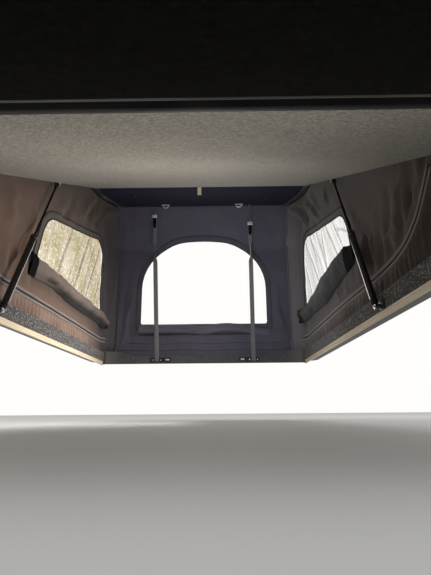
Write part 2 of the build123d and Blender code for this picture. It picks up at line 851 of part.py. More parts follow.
# Flaps of the side windows, rolled down along the sills and round the front corners, each as
# thick as the room between its canvas and the gas strut leaves
flap_levels = (corner_open, corner_knee)
flap_crest = max(height for _, height, _ in side_flap)
flap_outer = wall_face(flap_crest) - canvas / 2 - seat_gap
flap_thickness = flap_outer - strut_x - tube_radius - flap_clearance
for side, sign in sides:
    with BuildPart() as window_flap:
        loft(
            [
                corner_band(sign, height, corner_reach, canvas + seat_gap, flap_thickness)
                for height in flap_levels
            ],
            ruled=True,
        )
        extrude(
            side_outline(side_flap), amount=sign * 2 * canvas_foot_x, mode=Mode.INTERSECT
        )
    save(window_flap, f"window_flap_{side}")

# Flap of the front window, folded down along the sill
with BuildPart() as front_flap:
    with BuildSketch(Plane.YZ.offset(-arch_half_width)):
        with Locations((
            front_face(front_flap_top) - seat_gap - front_flap_depth / 2,
            front_flap_top - front_flap_height / 2,
        )):
            RectangleRounded(front_flap_depth, front_flap_height, front_flap_depth / 2 - 1)
    extrude(amount=2 * arch_half_width)
save(front_flap, "front_flap")

# Catches under the nose panel: a plate with a half ring of wire
ring_radius = catch_width / 2 - 2 * catch_wire
with BuildPart() as nose_catches:
    for x in catch_x:
        with BuildSketch(panel_side.offset(x - catch_width / 2)):
            with Locations((catch_along, -seat_gap - catch_plate / 2)):
                Rectangle(4 * catch_plate, catch_plate)
        extrude(amount=catch_width)
        ring_plane = Plane(
            origin=panel_side.from_local_coords((catch_along, -seat_gap - catch_plate / 2, x)),
            x_dir=(1, 0, 0),
            z_dir=panel_flat.z_dir,
        )
        with BuildSketch(ring_plane):
            with Locations((ring_radius, 0)):
                Circle(catch_wire)
        revolve(axis=Axis(ring_plane.origin, panel_side.x_dir), revolution_arc=180)
save(nose_catches, "nose_catches")

# Coat hooks on the nose panel: a plate and a turned-up hook
with BuildPart() as roof_hooks:
    for x in hook_x:
        with BuildSketch(panel_side.offset(x - hook_width / 2)):
            with Locations((hook_along, -seat_gap - hook_plate / 2)):
                Rectangle(hook_plate_length, hook_plate)
            with BuildLine():
                shank = Line((hook_along, -seat_gap - hook_plate / 2), (hook_along, -hook_drop))
                bend = ThreePointArc(
                    shank @ 1, (hook_along + hook_reach / 2, -hook_drop - hook_reach / 2),
                    (hook_along + hook_reach, -hook_drop),
                )
            trace(line_width=hook_plate)
        extrude(amount=hook_width)
save(roof_hooks, "roof_hooks")

# Pull tab that hangs from the lining's front edge
tab_root = lining_side.from_local_coords((lining_end - lining_round, lining_round, 0))
with BuildPart() as pull_tab:
    with BuildSketch(Plane.YZ.offset(tab_x - tab_width / 2)):
        with Locations((
            tab_root.Y + lining_round + seat_gap + tab_thickness / 2,
            tab_root.Z + lining_round - tab_length / 2,
        )):
            Rectangle(tab_thickness, tab_length)
    extrude(amount=tab_width)
save(pull_tab, "pull_tab")
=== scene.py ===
import bpy
import bmesh
import json
from math import asin, atan2, ceil, cos, exp, hypot, pi, radians, sin, tan
from mathutils import Matrix, Vector, noise


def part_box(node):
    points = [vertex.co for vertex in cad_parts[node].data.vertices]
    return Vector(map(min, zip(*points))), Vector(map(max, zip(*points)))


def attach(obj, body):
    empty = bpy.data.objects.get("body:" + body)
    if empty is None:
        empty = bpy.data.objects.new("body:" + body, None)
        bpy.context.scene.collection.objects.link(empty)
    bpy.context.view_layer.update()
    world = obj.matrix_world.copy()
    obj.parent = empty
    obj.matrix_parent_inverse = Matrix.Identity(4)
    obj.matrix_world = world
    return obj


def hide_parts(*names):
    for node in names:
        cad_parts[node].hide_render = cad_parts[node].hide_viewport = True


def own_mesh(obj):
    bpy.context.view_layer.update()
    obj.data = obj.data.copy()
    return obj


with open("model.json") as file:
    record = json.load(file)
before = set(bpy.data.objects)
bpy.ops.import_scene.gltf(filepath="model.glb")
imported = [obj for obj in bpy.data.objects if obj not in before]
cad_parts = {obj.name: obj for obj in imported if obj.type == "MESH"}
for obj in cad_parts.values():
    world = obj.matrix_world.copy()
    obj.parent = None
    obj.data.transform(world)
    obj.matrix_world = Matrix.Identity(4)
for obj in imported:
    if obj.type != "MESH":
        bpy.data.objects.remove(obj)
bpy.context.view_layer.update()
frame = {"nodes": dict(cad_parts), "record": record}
print("frame loaded:", len(frame["nodes"]), "nodes")

# The camera looks up and forward from just above the floor
view = {
    "place": (0.094, -1.443, -0.291), "climb": 16.23, "turn": 0.55, "roll": -0.45, "lens": 27.05,
}
cameraData = bpy.data.cameras.new("viewCamera")
cameraData.lens = view["lens"]
camera = bpy.data.objects.new("viewCamera", cameraData)
camera.matrix_world = (
    Matrix.Translation(view["place"])
    @ Matrix.Rotation(radians(view["turn"]), 4, "Z")
    @ Matrix.Rotation(radians(90 + view["climb"]), 4, "X")
    @ Matrix.Rotation(radians(view["roll"]), 4, "Z")
)
bpy.context.scene.collection.objects.link(camera)
bpy.context.scene.camera = camera

# Small helpers for shader trees
def feed(tree, socket, value):
    # A socket takes another node's output, or a plain value
    if isinstance(value, bpy.types.NodeSocket):
        tree.links.new(value, socket)
    else:
        socket.default_value = (*value, 1.0) if socket.type == "RGBA" else value


def fill(tree, node, **values):
    for key, value in values.items():
        if hasattr(node, key):
            setattr(node, key, value)
        else:
            feed(tree, node.inputs[key.replace("_", " ")], value)
    return node


def addNode(tree, kind, **values):
    return fill(tree, tree.nodes.new(kind), **values)


def mathNode(tree, operation, first, second=0.0):
    node = addNode(tree, "ShaderNodeMath", operation=operation)
    feed(tree, node.inputs[0], first)
    feed(tree, node.inputs[1], second)
    return node.outputs[0]


def mixColour(tree, factor, first, second):
    node = addNode(tree, "ShaderNodeMix", data_type="RGBA")
    for place, value in ((0, factor), (6, first), (7, second)):
        feed(tree, node.inputs[place], value)
    return node.outputs[2]


def spread(tree, value, low, high, toLow=0.0, toHigh=1.0):
    node = addNode(tree, "ShaderNodeMapRange")
    for socket, number in zip(node.inputs, (value, low, high, toLow, toHigh)):
        feed(tree, socket, number)
    return node.outputs[0]


def scaled(tree, vector, scale, turn=0.0):
    return addNode(tree, "ShaderNodeMapping", Vector=vector, Scale=scale, Rotation=(0.0, 0.0, turn)).outputs[0]


def noiseValue(tree, vector, scale, detail=3.0, roughness=0.55, distortion=0.0):
    node = addNode(tree, "ShaderNodeTexNoise", Vector=vector, Scale=scale, Detail=detail)
    return fill(tree, node, Roughness=roughness, Distortion=distortion).outputs[0]


def axisValue(tree, vector, axis):
    return addNode(tree, "ShaderNodeSeparateXYZ", Vector=vector).outputs[axis]


def halfSum(tree, first, second):
    return mathNode(tree, "MULTIPLY", mathNode(tree, "ADD", first, second), 0.5)


def newGroup(name, amount, value, outputs):
    # A group reads a vector and one amount, and puts out plain values
    group = bpy.data.node_groups.new(name, "ShaderNodeTree")
    group.interface.new_socket("Vector", in_out="INPUT", socket_type="NodeSocketVector")
    group.interface.new_socket(amount, in_out="INPUT", socket_type="NodeSocketFloat").default_value = value
    for label in outputs:
        group.interface.new_socket(label, in_out="OUTPUT", socket_type="NodeSocketFloat")
    return group, group.nodes.new("NodeGroupInput").outputs, group.nodes.new("NodeGroupOutput")


def sizedVector(group, vector, size):
    node = addNode(group, "ShaderNodeVectorMath", operation="SCALE", Scale=size)
    feed(group, node.inputs[0], vector)
    return node.outputs[0]


def makeWeaveGroup():
    # Plain weave: bands one way and the other, swapped by a checker one thread wide
    group, start, end = newGroup("plainWeave", "Threads", 900.0, ("Height", "Slub", "Creases"))
    size = sizedVector(group, start["Vector"], start["Threads"])
    checker = addNode(group, "ShaderNodeTexChecker", Vector=size, Scale=0.32)
    swap = addNode(group, "ShaderNodeMix")
    feed(group, swap.inputs[0], checker.outputs["Fac"])
    for place, axis in ((2, "X"), (3, "Y")):
        wave = addNode(group, "ShaderNodeTexWave", bands_direction=axis, Vector=size, Scale=0.5, Distortion=0.6)
        fill(group, wave, Detail_Scale=0.3)
        feed(group, swap.inputs[place], wave.outputs["Fac"])
    slub = noiseValue(group, scaled(group, size, (0.02, 0.6, 1.0)), 1.0, 2.0)
    across = noiseValue(group, scaled(group, start["Vector"], (42, 13, 1), 0.5), 1.0, 3.0, 0.5, 0.6)
    along = noiseValue(group, scaled(group, start["Vector"], (16, 38, 1), 0.3), 1.0, 3.0, 0.5, 0.6)
    fill(group, end, Height=swap.outputs[0], Slub=slub, Creases=halfSum(group, across, along))
    return group


def makeFibreGroup():
    # Matted fibres: fine noise drawn out along two ways, and a slow cloud under it
    group, start, end = newGroup("mattedFibres", "Fineness", 1.0, ("Fibres", "Clouds", "Height"))
    size = sizedVector(group, start["Vector"], start["Fineness"])
    across = noiseValue(group, scaled(group, size, (75, 230, 230), 0.12), 1.0, 5.0, 0.72)
    along = noiseValue(group, scaled(group, size, (150, 190, 190), -0.3), 1.0, 4.0, 0.7)
    fibres = halfSum(group, across, along)
    fuzz = mathNode(group, "MULTIPLY", noiseValue(group, size, 900.0, 2.0), 0.6)
    fill(group, end, Fibres=fibres, Clouds=noiseValue(group, size, 14.0), Height=mathNode(group, "ADD", fibres, fuzz))
    return group


def makeDustGroup():
    # Slow patches of dust and rubbing that lift a colour and dull its gloss
    group, start, end = newGroup("dustPatches", "Amount", 0.3, ("Dust", "Scuffs"))
    patches = spread(group, noiseValue(group, start["Vector"], 6.0, 5.0, 0.6), 0.42, 0.72)
    scratches = noiseValue(group, scaled(group, start["Vector"], (260, 18, 60), 0.6), 1.0)
    dust = mathNode(group, "MULTIPLY", patches, start["Amount"])
    fill(group, end, Dust=dust, Scuffs=spread(group, scratches, 0.6, 0.75))
    return group


weaveGroup = makeWeaveGroup()
fibreGroup = makeFibreGroup()
dustGroup = makeDustGroup()


def startMaterial(name, useUv=False):
    material = bpy.data.materials.new(name)
    material.use_nodes = True
    tree = material.node_tree
    vector = tree.nodes.new("ShaderNodeTexCoord").outputs["UV" if useUv else "Object"]
    return material, tree, tree.nodes["Principled BSDF"], vector


def useGroup(tree, group, vector, **values):
    return addNode(tree, "ShaderNodeGroup", node_tree=group, Vector=vector, **values).outputs


def attributeValue(tree, name):
    return addNode(tree, "ShaderNodeAttribute", attribute_name=name).outputs["Fac"]


def bump(tree, height, strength, distance):
    return addNode(tree, "ShaderNodeBump", Height=height, Strength=strength, Distance=distance).outputs[0]


def sideRegions(pleatLightTone, cornerShadingTone):
    # Axis of the flat cut, where the tone starts and is full, its share and colour
    return (
        (1, 0.13, 0.09, 0.6, pleatLightTone),  # painted light, paler on the pleats below the zip
        (1, 0.28, 0.62, 0.5, (0.03, 0.023, 0.019)),  # painted shade, darker toward the roof
        (0, 0.74, 1.03, 1.0, cornerShadingTone),  # painted light and shade, greyer toward the turned corner
    )


def makeCloth(name, colour, shade, threads, creases=0.0026, sheen=0.12, specular=0.2, regions=(), paintedShadeTone=None):
    # A weave on the piece's own flat cut, with slow fading, soft creases and a little sheen; painted shade darkens the
    # creases and the gaps between threads
    material, tree, shader, vector = startMaterial(name, useUv=True)
    weave = useGroup(tree, weaveGroup, vector, Threads=threads)
    tone = mixColour(tree, spread(tree, noiseValue(tree, vector, 5.0, 4.0, 0.6), 0.35, 0.7), colour, shade)
    # Painted shade along the creases
    tone = mixColour(tree, spread(tree, weave["Creases"], 0.35, 0.7, 0.0, 0.4), tone, shade)
    tone = mixColour(tree, spread(tree, weave["Slub"], 0.3, 0.75, 0.0, 0.3), tone, colour)
    # Painted shade in the gaps between threads
    tone = mixColour(tree, spread(tree, weave["Height"], 0.0, 0.35, 0.1, 0.0), tone, (0.0, 0.0, 0.0))
    for axis, start, full, share, regionTone in regions:
        region = spread(tree, axisValue(tree, vector, axis), start, full, 0.0, share)
        tone = mixColour(tree, region, tone, regionTone)
    # Painted shade from the tuck attribute: under the rolls, in their creases and below the flaps
    if paintedShadeTone:
        tone = mixColour(tree, attributeValue(tree, "tuck"), tone, paintedShadeTone)
    threadHeight = mathNode(tree, "MULTIPLY", weave["Height"], 0.00005)
    height = mathNode(tree, "ADD", mathNode(tree, "MULTIPLY", weave["Creases"], creases), threadHeight)
    fill(tree, shader, Base_Color=tone, Roughness=0.88, Sheen_Weight=sheen, Sheen_Roughness=0.5)
    fill(tree, shader, Specular_IOR_Level=specular, Normal=bump(tree, height, 1.0, 1.0))
    return material


def makeFelt(
    name, colour, paler, fineness=1.0, specks=0.0, speckColour=(0.5, 0.5, 0.48), speckScale=330.0,
    depth=0.0012, band=(0.4, 0.6), sheen=0.1, endTone=None,
):
    # Matted fibres, with pale specks where the photo shows them
    material, tree, shader, vector = startMaterial(name)
    fibres = useGroup(tree, fibreGroup, vector, Fineness=fineness)
    tone = mixColour(tree, spread(tree, fibres["Fibres"], *band), colour, paler)
    tone = mixColour(tree, spread(tree, fibres["Clouds"], 0.3, 0.75, 0.0, 0.2), tone, colour)
    if specks:
        grains = noiseValue(tree, vector, speckScale, 2.0, 0.6)
        tone = mixColour(tree, spread(tree, grains, 0.54, 0.64, 0.0, specks), tone, speckColour)
    if endTone:
        # Paler toward both ends of the board
        ends = spread(tree, mathNode(tree, "ABSOLUTE", axisValue(tree, vector, 0)), 0.47, 0.55, 0.0, 0.7)
        tone = mixColour(tree, ends, tone, endTone)
    fill(tree, shader, Base_Color=tone, Roughness=0.95, Sheen_Weight=sheen, Sheen_Roughness=0.6)
    fill(tree, shader, Specular_IOR_Level=0.1, Normal=bump(tree, fibres["Height"], 0.7, depth))
    return material


def makeHard(name, colour, roughness, metallic=0.0, grain=260.0, depth=0.0001, dust=0.15, coat=0.0, specular=0.5):
    # A grain, dust and scuffs over a plain colour
    material, tree, shader, vector = startMaterial(name)
    patches = useGroup(tree, dustGroup, vector, Amount=dust)
    tone = mixColour(tree, patches["Dust"], colour, (0.4, 0.38, 0.35))
    dull = mathNode(tree, "ADD", mathNode(tree, "MULTIPLY", patches["Scuffs"], 0.12), roughness)
    fill(tree, shader, Base_Color=tone, Roughness=dull, Metallic=metallic, Coat_Weight=coat, Coat_Roughness=0.08)
    normal = bump(tree, noiseValue(tree, vector, grain), 0.4, depth)
    fill(tree, shader, Specular_IOR_Level=specular, Normal=normal)
    return material


def makeBrushed(name, colour, roughness, stretch):
    # Drawn metal: the grain runs along the piece
    material, tree, shader, vector = startMaterial(name)
    lines = noiseValue(tree, scaled(tree, vector, stretch), 1.0, 4.0, 0.6)
    tone = mixColour(tree, lines, colour, [0.75 * c for c in colour])
    dull = spread(tree, lines, 0.3, 0.7, roughness, roughness + 0.15)
    fill(tree, shader, Base_Color=tone, Roughness=dull, Metallic=1.0, Normal=bump(tree, lines, 0.25, 0.0001))
    return material


def makeWood(name, colour, darker):
    material, tree, shader, vector = startMaterial(name)
    grain = noiseValue(tree, scaled(tree, vector, (160, 5, 160)), 1.0, 5.0, 0.6, 1.2)
    tone = mixColour(tree, spread(tree, grain, 0.35, 0.65), colour, darker)
    fill(tree, shader, Base_Color=tone, Roughness=0.5, Normal=bump(tree, grain, 0.3, 0.0003))
    return material


def makeFilm(name, tint, treeShadeTone, creaseShadeTone, creased=0.7):
    # Clear window film: thin, with patches of painted tree shade, painted specks of dappled light and painted shade
    # along its creases
    material, tree, shader, vector = startMaterial(name, useUv=True)
    treeShadePatches = noiseValue(tree, scaled(tree, vector, (9, 7, 1), 0.3), 1.0, 6.0, 0.68, 0.5)
    dappledLight = noiseValue(tree, vector, 60.0, 4.0, 0.7)
    tone = mixColour(tree, spread(tree, treeShadePatches, 0.4, 0.62), tint, treeShadeTone)
    tone = mixColour(tree, spread(tree, dappledLight, 0.53, 0.62, 0.0, 0.9), tone, (1.0, 1.0, 0.97))
    crease = spread(tree, attributeValue(tree, "crease"), 0.1, 1.0, 0.0, creased)
    crazing = noiseValue(tree, scaled(tree, vector, (60, 9, 1), 0.2), 1.0, 5.0, 0.6, 0.8)
    fill(tree, shader, Base_Color=mixColour(tree, crease, tone, creaseShadeTone), Roughness=0.16, IOR=1.1)
    fill(tree, shader, Transmission_Weight=1.0, Specular_IOR_Level=0.4, Normal=bump(tree, crazing, 0.15, 0.0008))
    return material


materials = {
    "frame_metal": makeHard("frameMetal", (0.04, 0.04, 0.045), 0.42, grain=700.0, depth=0.0002, dust=0.1),
    "bracket_steel": makeHard("bracketSteel", (0.03, 0.03, 0.033), 0.5, grain=900.0),
    "chrome_fittings": makeBrushed("chromeFittings", (0.8, 0.8, 0.82), 0.12, (90, 90, 90)),
    "carpet": makeFelt(
        "speckledCarpet", (0.02, 0.019, 0.019), (0.09, 0.085, 0.08), 1.0, 0.85, (0.4, 0.38, 0.365), 190.0, 0.003,
    ),
    "pale_strip": makeWood("paleStrip", (0.78, 0.66, 0.49), (0.62, 0.5, 0.35)),
    "grey_felt": makeFelt(
        "greyFelt", (0.04, 0.039, 0.04), (0.085, 0.083, 0.082), 1.0, 0.15, (0.25, 0.25, 0.24),
        endTone=(0.16, 0.15, 0.145),
    ),
    "black_carpet": makeFelt(
        "blackCarpet", (0.0025, 0.0023, 0.002), (0.007, 0.0066, 0.006), 0.8, 0.1, (0.02, 0.019, 0.018), sheen=0.0,
    ),
    "white_shell": makeHard("whiteShell", (0.8, 0.81, 0.8), 0.22, grain=90.0, depth=0.00005, dust=0.08, coat=0.6),
    "seal_rubber": makeHard("sealRubber", (0.016, 0.016, 0.017), 0.7, grain=600.0),
    "ceiling_felt": makeFelt(
        "ceilingFelt", (0.08, 0.073, 0.06), (0.245, 0.225, 0.19), 1.3, 0.45, (0.42, 0.385, 0.33), band=(0.42, 0.58),
    ),
    "stringer_board": makeWood("stringerBoard", (0.12, 0.09, 0.06), (0.07, 0.05, 0.035)),
    "dark_panel": makeFelt("darkPanel", (0.011, 0.011, 0.018), (0.021, 0.02, 0.032), 1.2, sheen=0.0),
    "black_tube": makeHard(
        "blackTube", (0.003, 0.003, 0.0035), 0.16, grain=500.0, depth=0.00002, dust=0.01, coat=1.0, specular=0.3,
    ),
    "strut_rod": makeHard(
        "strutRod", (0.003, 0.003, 0.0035), 0.12, grain=700.0, depth=0.00003, dust=0.0, specular=0.2,
    ),
    "black_plastic": makeHard("blackPlastic", (0.008, 0.008, 0.009), 0.42, grain=1200.0, dust=0.03, specular=0.25),
    "tan_webbing": makeCloth("tanWebbing", (0.62, 0.55, 0.43), (0.5, 0.43, 0.33), 1600.0, creases=0.0004),
    "grey_webbing": makeCloth("greyWebbing", (0.13, 0.125, 0.128), (0.09, 0.087, 0.09), 1500.0, creases=0.0005),
    "side_canvas": makeCloth(
        "sideCanvas", (0.15, 0.095, 0.07), (0.11, 0.072, 0.055), 1300.0,
        regions=sideRegions((0.26, 0.185, 0.15), (0.062, 0.055, 0.06)), paintedShadeTone=(0.02, 0.016, 0.014),
    ),
    "front_canvas": makeCloth("frontCanvas", (0.07, 0.065, 0.085), (0.051, 0.048, 0.064), 1300.0),
    # The left film's beige tint is painted tree shade
    "window_film": makeFilm("windowFilm", (0.8, 0.69, 0.53), (0.55, 0.46, 0.23), (0.3, 0.24, 0.21)),
    "flap_canvas": makeCloth(
        "flapCanvas", (0.165, 0.128, 0.11), (0.12, 0.092, 0.08), 1300.0, 0.005, paintedShadeTone=(0.004, 0.0035, 0.0035),
    ),
}
# The right side's canvas and flap are darker copies of the left's, painted shade for the right wall; its film is whiter
rightMaterials = {
    "side_canvas": makeCloth(
        "sideCanvasRightInShade", (0.086, 0.066, 0.058), (0.064, 0.05, 0.045), 1300.0,
        regions=sideRegions((0.115, 0.1, 0.092), (0.125, 0.113, 0.122)), paintedShadeTone=(0.02, 0.018, 0.017),
    ),
    "flap_canvas": makeCloth(
        "flapCanvasRightInShade", (0.034, 0.03, 0.029), (0.022, 0.02, 0.02), 1300.0, 0.004, paintedShadeTone=(0.008, 0.007, 0.007),
    ),
    "window_film": makeFilm("windowFilmRight", (1.0, 1.0, 1.0), (1.0, 0.99, 0.98), (0.42, 0.34, 0.28), 0.45),
}
frontFlapMaterial = makeCloth(
    "flapCanvasFront", (0.088, 0.081, 0.1), (0.064, 0.06, 0.076), 1300.0, paintedShadeTone=(0.012, 0.011, 0.014),
)
pipingMaterial = makeHard("blackPiping", (0.008, 0.007, 0.008), 0.6, grain=900.0, dust=0.05, specular=0.2)
greyPipingMaterial = makeHard("greyPiping", (0.05, 0.048, 0.045), 0.7, grain=900.0, specular=0.2)
tapeMaterial = makeCloth("zipTape", (0.23, 0.2, 0.185), (0.17, 0.15, 0.14), 1800.0, 0.0004)
hemMaterial = makeCloth("hemTape", (0.085, 0.078, 0.068), (0.062, 0.057, 0.051), 1500.0, 0.0012)
darkHemMaterial = makeCloth("darkHemTape", (0.058, 0.053, 0.068), (0.042, 0.039, 0.05), 1500.0, 0.0012)
# Black for the tabs and the buckle tails, and for the right flap's band of painted shade
tabAndShadeMaterial = makeCloth("blackTabAndShade", (0.006, 0.006, 0.006), (0.004, 0.004, 0.004), 1500.0, 0.0008, 0.0, 0.05)
brightMaterial = makeHard("brightZinc", (0.82, 0.82, 0.84), 0.3, metallic=0.5, grain=900.0, dust=0.03)


def sideMaterial(slotName, sign):
    return rightMaterials[slotName] if sign > 0 else materials[slotName]


nodeFinish = {
    "nose_catches": brightMaterial, "strut_feet": materials["bracket_steel"], "lining_edge": pipingMaterial,
}
slotOf = {part["node"]: part["material_slot"] for part in frame["record"]["subparts"]}
for nodeName, nodeObject in frame["nodes"].items():
    nodeObject.data.materials.clear()
    nodeObject.data.materials.append(nodeFinish.get(nodeName) or materials[slotOf[nodeName]])
print("materials made:", len(materials))


# Shapes of the tent. A cloth is cut flat as (along, up), then laid in place by a function
def ease(low, high, value):
    # From nothing at low to one at high, level at both
    share = max(0.0, min(1.0, (value - low) / (high - low)))
    return share * share * (3 - 2 * share)


def tableValue(rows, place):
    # Straight line through a table of (place, value)
    for (a, low), (b, high) in zip(rows, rows[1:]):
        if place <= b:
            return low + max(0.0, (place - a) / (b - a)) * (high - low)
    return rows[-1][1]


frameTop = 0.048
frontLow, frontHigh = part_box("tent_front")
sideLow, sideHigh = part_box("tent_right")
canvasShape = {"thickness": 0.0012, "sideStep": 0.0055, "frontStep": 0.0115, "upStep": 0.0125}
tent = {
    "footX": sideHigh.x + 0.0002, "headX": 0.573, "footZ": sideLow.z, "rearY": sideLow.y, "headZ": frontHigh.z,
    "skirtX": frontHigh.x, "seamX": 0.506, "turnEndX": 0.512, "frontEdgeX": 0.5165, "liningEnd": (0.565, 0.85),
    # height, then the front wall's place or the reach of the turned corner
    "front": (
        (frontLow.z, frontHigh.y - 0.001), (frameTop, frontHigh.y - 0.001), (0.672, 1.041),
        (frontHigh.z, frontLow.y + 0.001),
    ),
    "reach": ((frameTop, 0.01), (0.095, 0.083), (0.672, 0.083), (frontHigh.z, 0.34)),
}
sides = (("left", -1), ("right", 1))
clothKeep = 0.02  # set for cloth pieces so that each gets a mesh of its own


def metres(rows):
    return [tuple(value / 1000 for value in row) for row in rows]


def drift(x, y, z):
    # Smooth noise between minus and plus one
    return noise.noise(Vector((x, y, z)))


def wallX(z):
    return tent["footX"] - (tent["footX"] - tent["headX"]) * z / tent["headZ"]


def wallFrontY(z):
    return tableValue(tent["front"], z)


def cornerTurn(z):
    # Where the turn starts, its reach back and in, its radius and how far it turns
    reachY = tableValue(tent["reach"], z)
    reachX = min(reachY, wallX(z) - tent["turnEndX"])
    radius = (reachX ** 2 + reachY ** 2) / (2 * reachX)
    return wallFrontY(z) - reachY, reachX, radius, 2 * atan2(reachX, reachY)


def foldDepth(folds, u, v):
    # Each fold is a soft ridge along a line: u0, v0, u1, v1, width, depth
    total = 0.0
    for u0, v0, u1, v1, width, depth in folds:
        runU, runV = u1 - u0, v1 - v0
        length = hypot(runU, runV)
        along = ((u - u0) * runU + (v - v0) * runV) / (length * length)
        if -0.3 < along < 1.3:
            off = ((u - u0) * runV - (v - v0) * runU) / length
            off += 0.25 * width * sin(9 * along + 40 * width)
            taper = ease(-0.25, 0.2, along) * (1 - ease(0.8, 1.25, along))
            total += depth * taper * exp(-((off / width) ** 2))
    return total


def roundedPath(corners, steps=7):
    # Straight runs with an arc at each corner; a corner is (along, up, radius)
    points = []
    for i, (u, v, radius) in enumerate(corners):
        corner = Vector((u, v))
        back = (Vector(corners[i - 1][:2]) - corner).normalized()
        ahead = (Vector(corners[(i + 1) % len(corners)][:2]) - corner).normalized()
        half = back.angle(ahead) / 2
        reach = radius / tan(half)
        centre = corner + (back + ahead).normalized() * hypot(reach, radius)
        start, end = corner + back * reach - centre, corner + ahead * reach - centre
        turn = start.angle_signed(end)
        for k in range(steps + 1):
            spoke = start.copy()
            spoke.rotate(Matrix.Rotation(-turn * k / steps, 2))
            points.append(centre + spoke)
    return points


def addSpline(curve, kind, points, closed):
    spline = curve.splines.new(kind)
    spline.points.add(len(points) - 1)
    for point, place in zip(spline.points, points):
        point.co = (*Vector(place).to_3d(), 1.0)
    spline.use_cyclic_u = closed
    return spline


def curveMesh(curve):
    holder = bpy.data.objects.new(curve.name, curve)
    mesh = bpy.data.meshes.new_from_object(holder)
    bpy.data.objects.remove(holder)
    return mesh


def flatCut(outer, holes, stepU, stepV):
    # A sheet cut to its outline, with its windows, then divided both ways so that it can fold
    curve = bpy.data.curves.new("cut", "CURVE")
    curve.dimensions = "2D"
    curve.fill_mode = "BOTH"
    for loop in (outer, *holes):
        addSpline(curve, "POLY", loop, True)
    mesh = curveMesh(curve)
    bm = bmesh.new()
    bm.from_mesh(mesh)
    bpy.data.meshes.remove(mesh)
    bmesh.ops.remove_doubles(bm, verts=bm.verts, dist=1e-6)
    for axis, step in ((1, stepV), (0, stepU)):
        low = min(vertex.co[axis] for vertex in bm.verts)
        high = max(vertex.co[axis] for vertex in bm.verts)
        direction = Vector((axis == 0, axis == 1, 0))
        for k in range(1, ceil((high - low) / step)):
            bmesh.ops.bisect_plane(
                bm, geom=bm.verts[:] + bm.edges[:] + bm.faces[:], dist=1e-6,
                plane_co=direction * (low + k * step), plane_no=direction,
            )
    return bm


def flatStrip(width, length, stepsAcross, stepsAlong):
    # A plain strip: along runs from 0 to its length, up from minus to plus half its width
    bm = bmesh.new()
    bmesh.ops.create_grid(bm, x_segments=stepsAlong, y_segments=stepsAcross, size=0.5)
    bmesh.ops.scale(bm, vec=(length, width, 1.0), verts=bm.verts)
    bmesh.ops.translate(bm, vec=(length / 2, 0.0, 0.0), verts=bm.verts)
    return bm


def keepPiece(name, mesh, slotName, material, body="base", keep=None):
    # A finished mesh becomes a piece of the part; a cloth piece gets a mesh of its own
    piece = bpy.data.objects.new(name, mesh)
    bpy.context.scene.collection.objects.link(piece)
    mesh.materials.clear()
    mesh.materials.append(material)
    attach(piece, body)
    if keep:
        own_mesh(piece)
    return piece


def pieceMesh(name, bm):
    mesh = bpy.data.meshes.new(name)
    bm.to_mesh(mesh)
    bm.free()
    return mesh


def addWall(piece, thickness):
    wall = piece.modifiers.new("thickness", "SOLIDIFY")
    wall.thickness = thickness
    wall.offset = 0.0


def layCloth(name, bm, place, slotName, thickness, nodes=(), material=None, smooth=0):
    # The flat cut becomes the weave's own map, then every point goes to its place
    for layer in bm.loops.layers.uv.values():
        bm.loops.layers.uv.remove(layer)
    uvLayer = bm.loops.layers.uv.new("flat")
    for face in bm.faces:
        face.smooth = True
        for loop in face.loops:
            loop[uvLayer].uv = loop.vert.co.xy
    for vertex in bm.verts:
        vertex.co = place(vertex.co.x, vertex.co.y)
    piece = keepPiece(name, pieceMesh(name, bm), slotName, material or materials[slotName], keep=clothKeep)
    addWall(piece, thickness)
    if smooth:
        soften = piece.modifiers.new("soften", "SUBSURF")
        soften.levels = smooth
        soften.render_levels = smooth
    if nodes:
        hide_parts(*nodes)
    return piece


windowCorners = [(0.062, 0.268, 0.02), (0.096, 0.455, 0.12), (0.868, 0.664, 0.1), (0.95, 0.246, 0.02)]
hemCorners = [(0.03, 0.26, 0.03), (0.066, 0.478, 0.14), (0.888, 0.7, 0.12), (0.992, 0.238, 0.03)]
zipRoutes = {
    -1: metres((
        (1030, 117), (600, 121), (200, 121), (-100, 119), (-240, 122), (-330, 133), (-410, 162), (-480, 206),
        (-545, 262),
    )),
    1: metres((
        (1030, 121), (600, 123), (200, 124), (-120, 117), (-260, 121), (-350, 134), (-420, 159), (-475, 195),
        (-545, 264),
    )),
}
sideFolds = {
    # millimetres, from (along, up) to (along, up), half width, depth
    -1: metres((
        (310, 620, 170, 510, 22, 7), (370, 660, 280, 540, 20, -6), (630, 810, 470, 630, 24, 8),
        (720, 840, 580, 680, 22, -8), (930, 890, 750, 760, 24, 8), (800, 800, 700, 690, 16, -6),
        (1030, 930, 1010, 630, 14, 6), (1070, 700, 1055, 360, 12, 5), (1000, 600, 1030, 250, 14, -5),
        (-160, 430, -160, 310, 30, 6), (-80, 240, -120, 150, 14, 8), (-30, 320, -90, 180, 16, -8),
        (0, 420, -40, 200, 16, 6), (-200, 280, -260, 140, 20, -7), (-340, 260, -360, 150, 20, 6),
        (500, 225, 240, 180, 12, 4),
    )),
    1: metres((
        (940, 900, 760, 715, 18, 9), (850, 860, 680, 700, 16, -8), (710, 810, 500, 635, 18, 9),
        (640, 780, 460, 620, 14, -8), (570, 780, 460, 650, 14, 7), (330, 680, 300, 600, 14, 8),
        (-40, 270, -90, 170, 14, 9), (-70, 290, -120, 180, 11, -8), (-120, 250, -145, 160, 12, 8),
        (-260, 220, -290, 180, 16, 6), (-380, 300, -330, 200, 14, 10), (-430, 270, -395, 190, 12, -10),
        (-470, 250, -415, 160, 12, 9), (-300, 340, -240, 220, 30, -5), (60, 450, -30, 330, 25, 5),
        (310, 200, 285, 150, 12, 7), (190, 185, 150, 135, 12, 7), (250, 190, 220, 140, 12, -5),
        (1050, 800, 1020, 350, 14, 6),
    )),
}
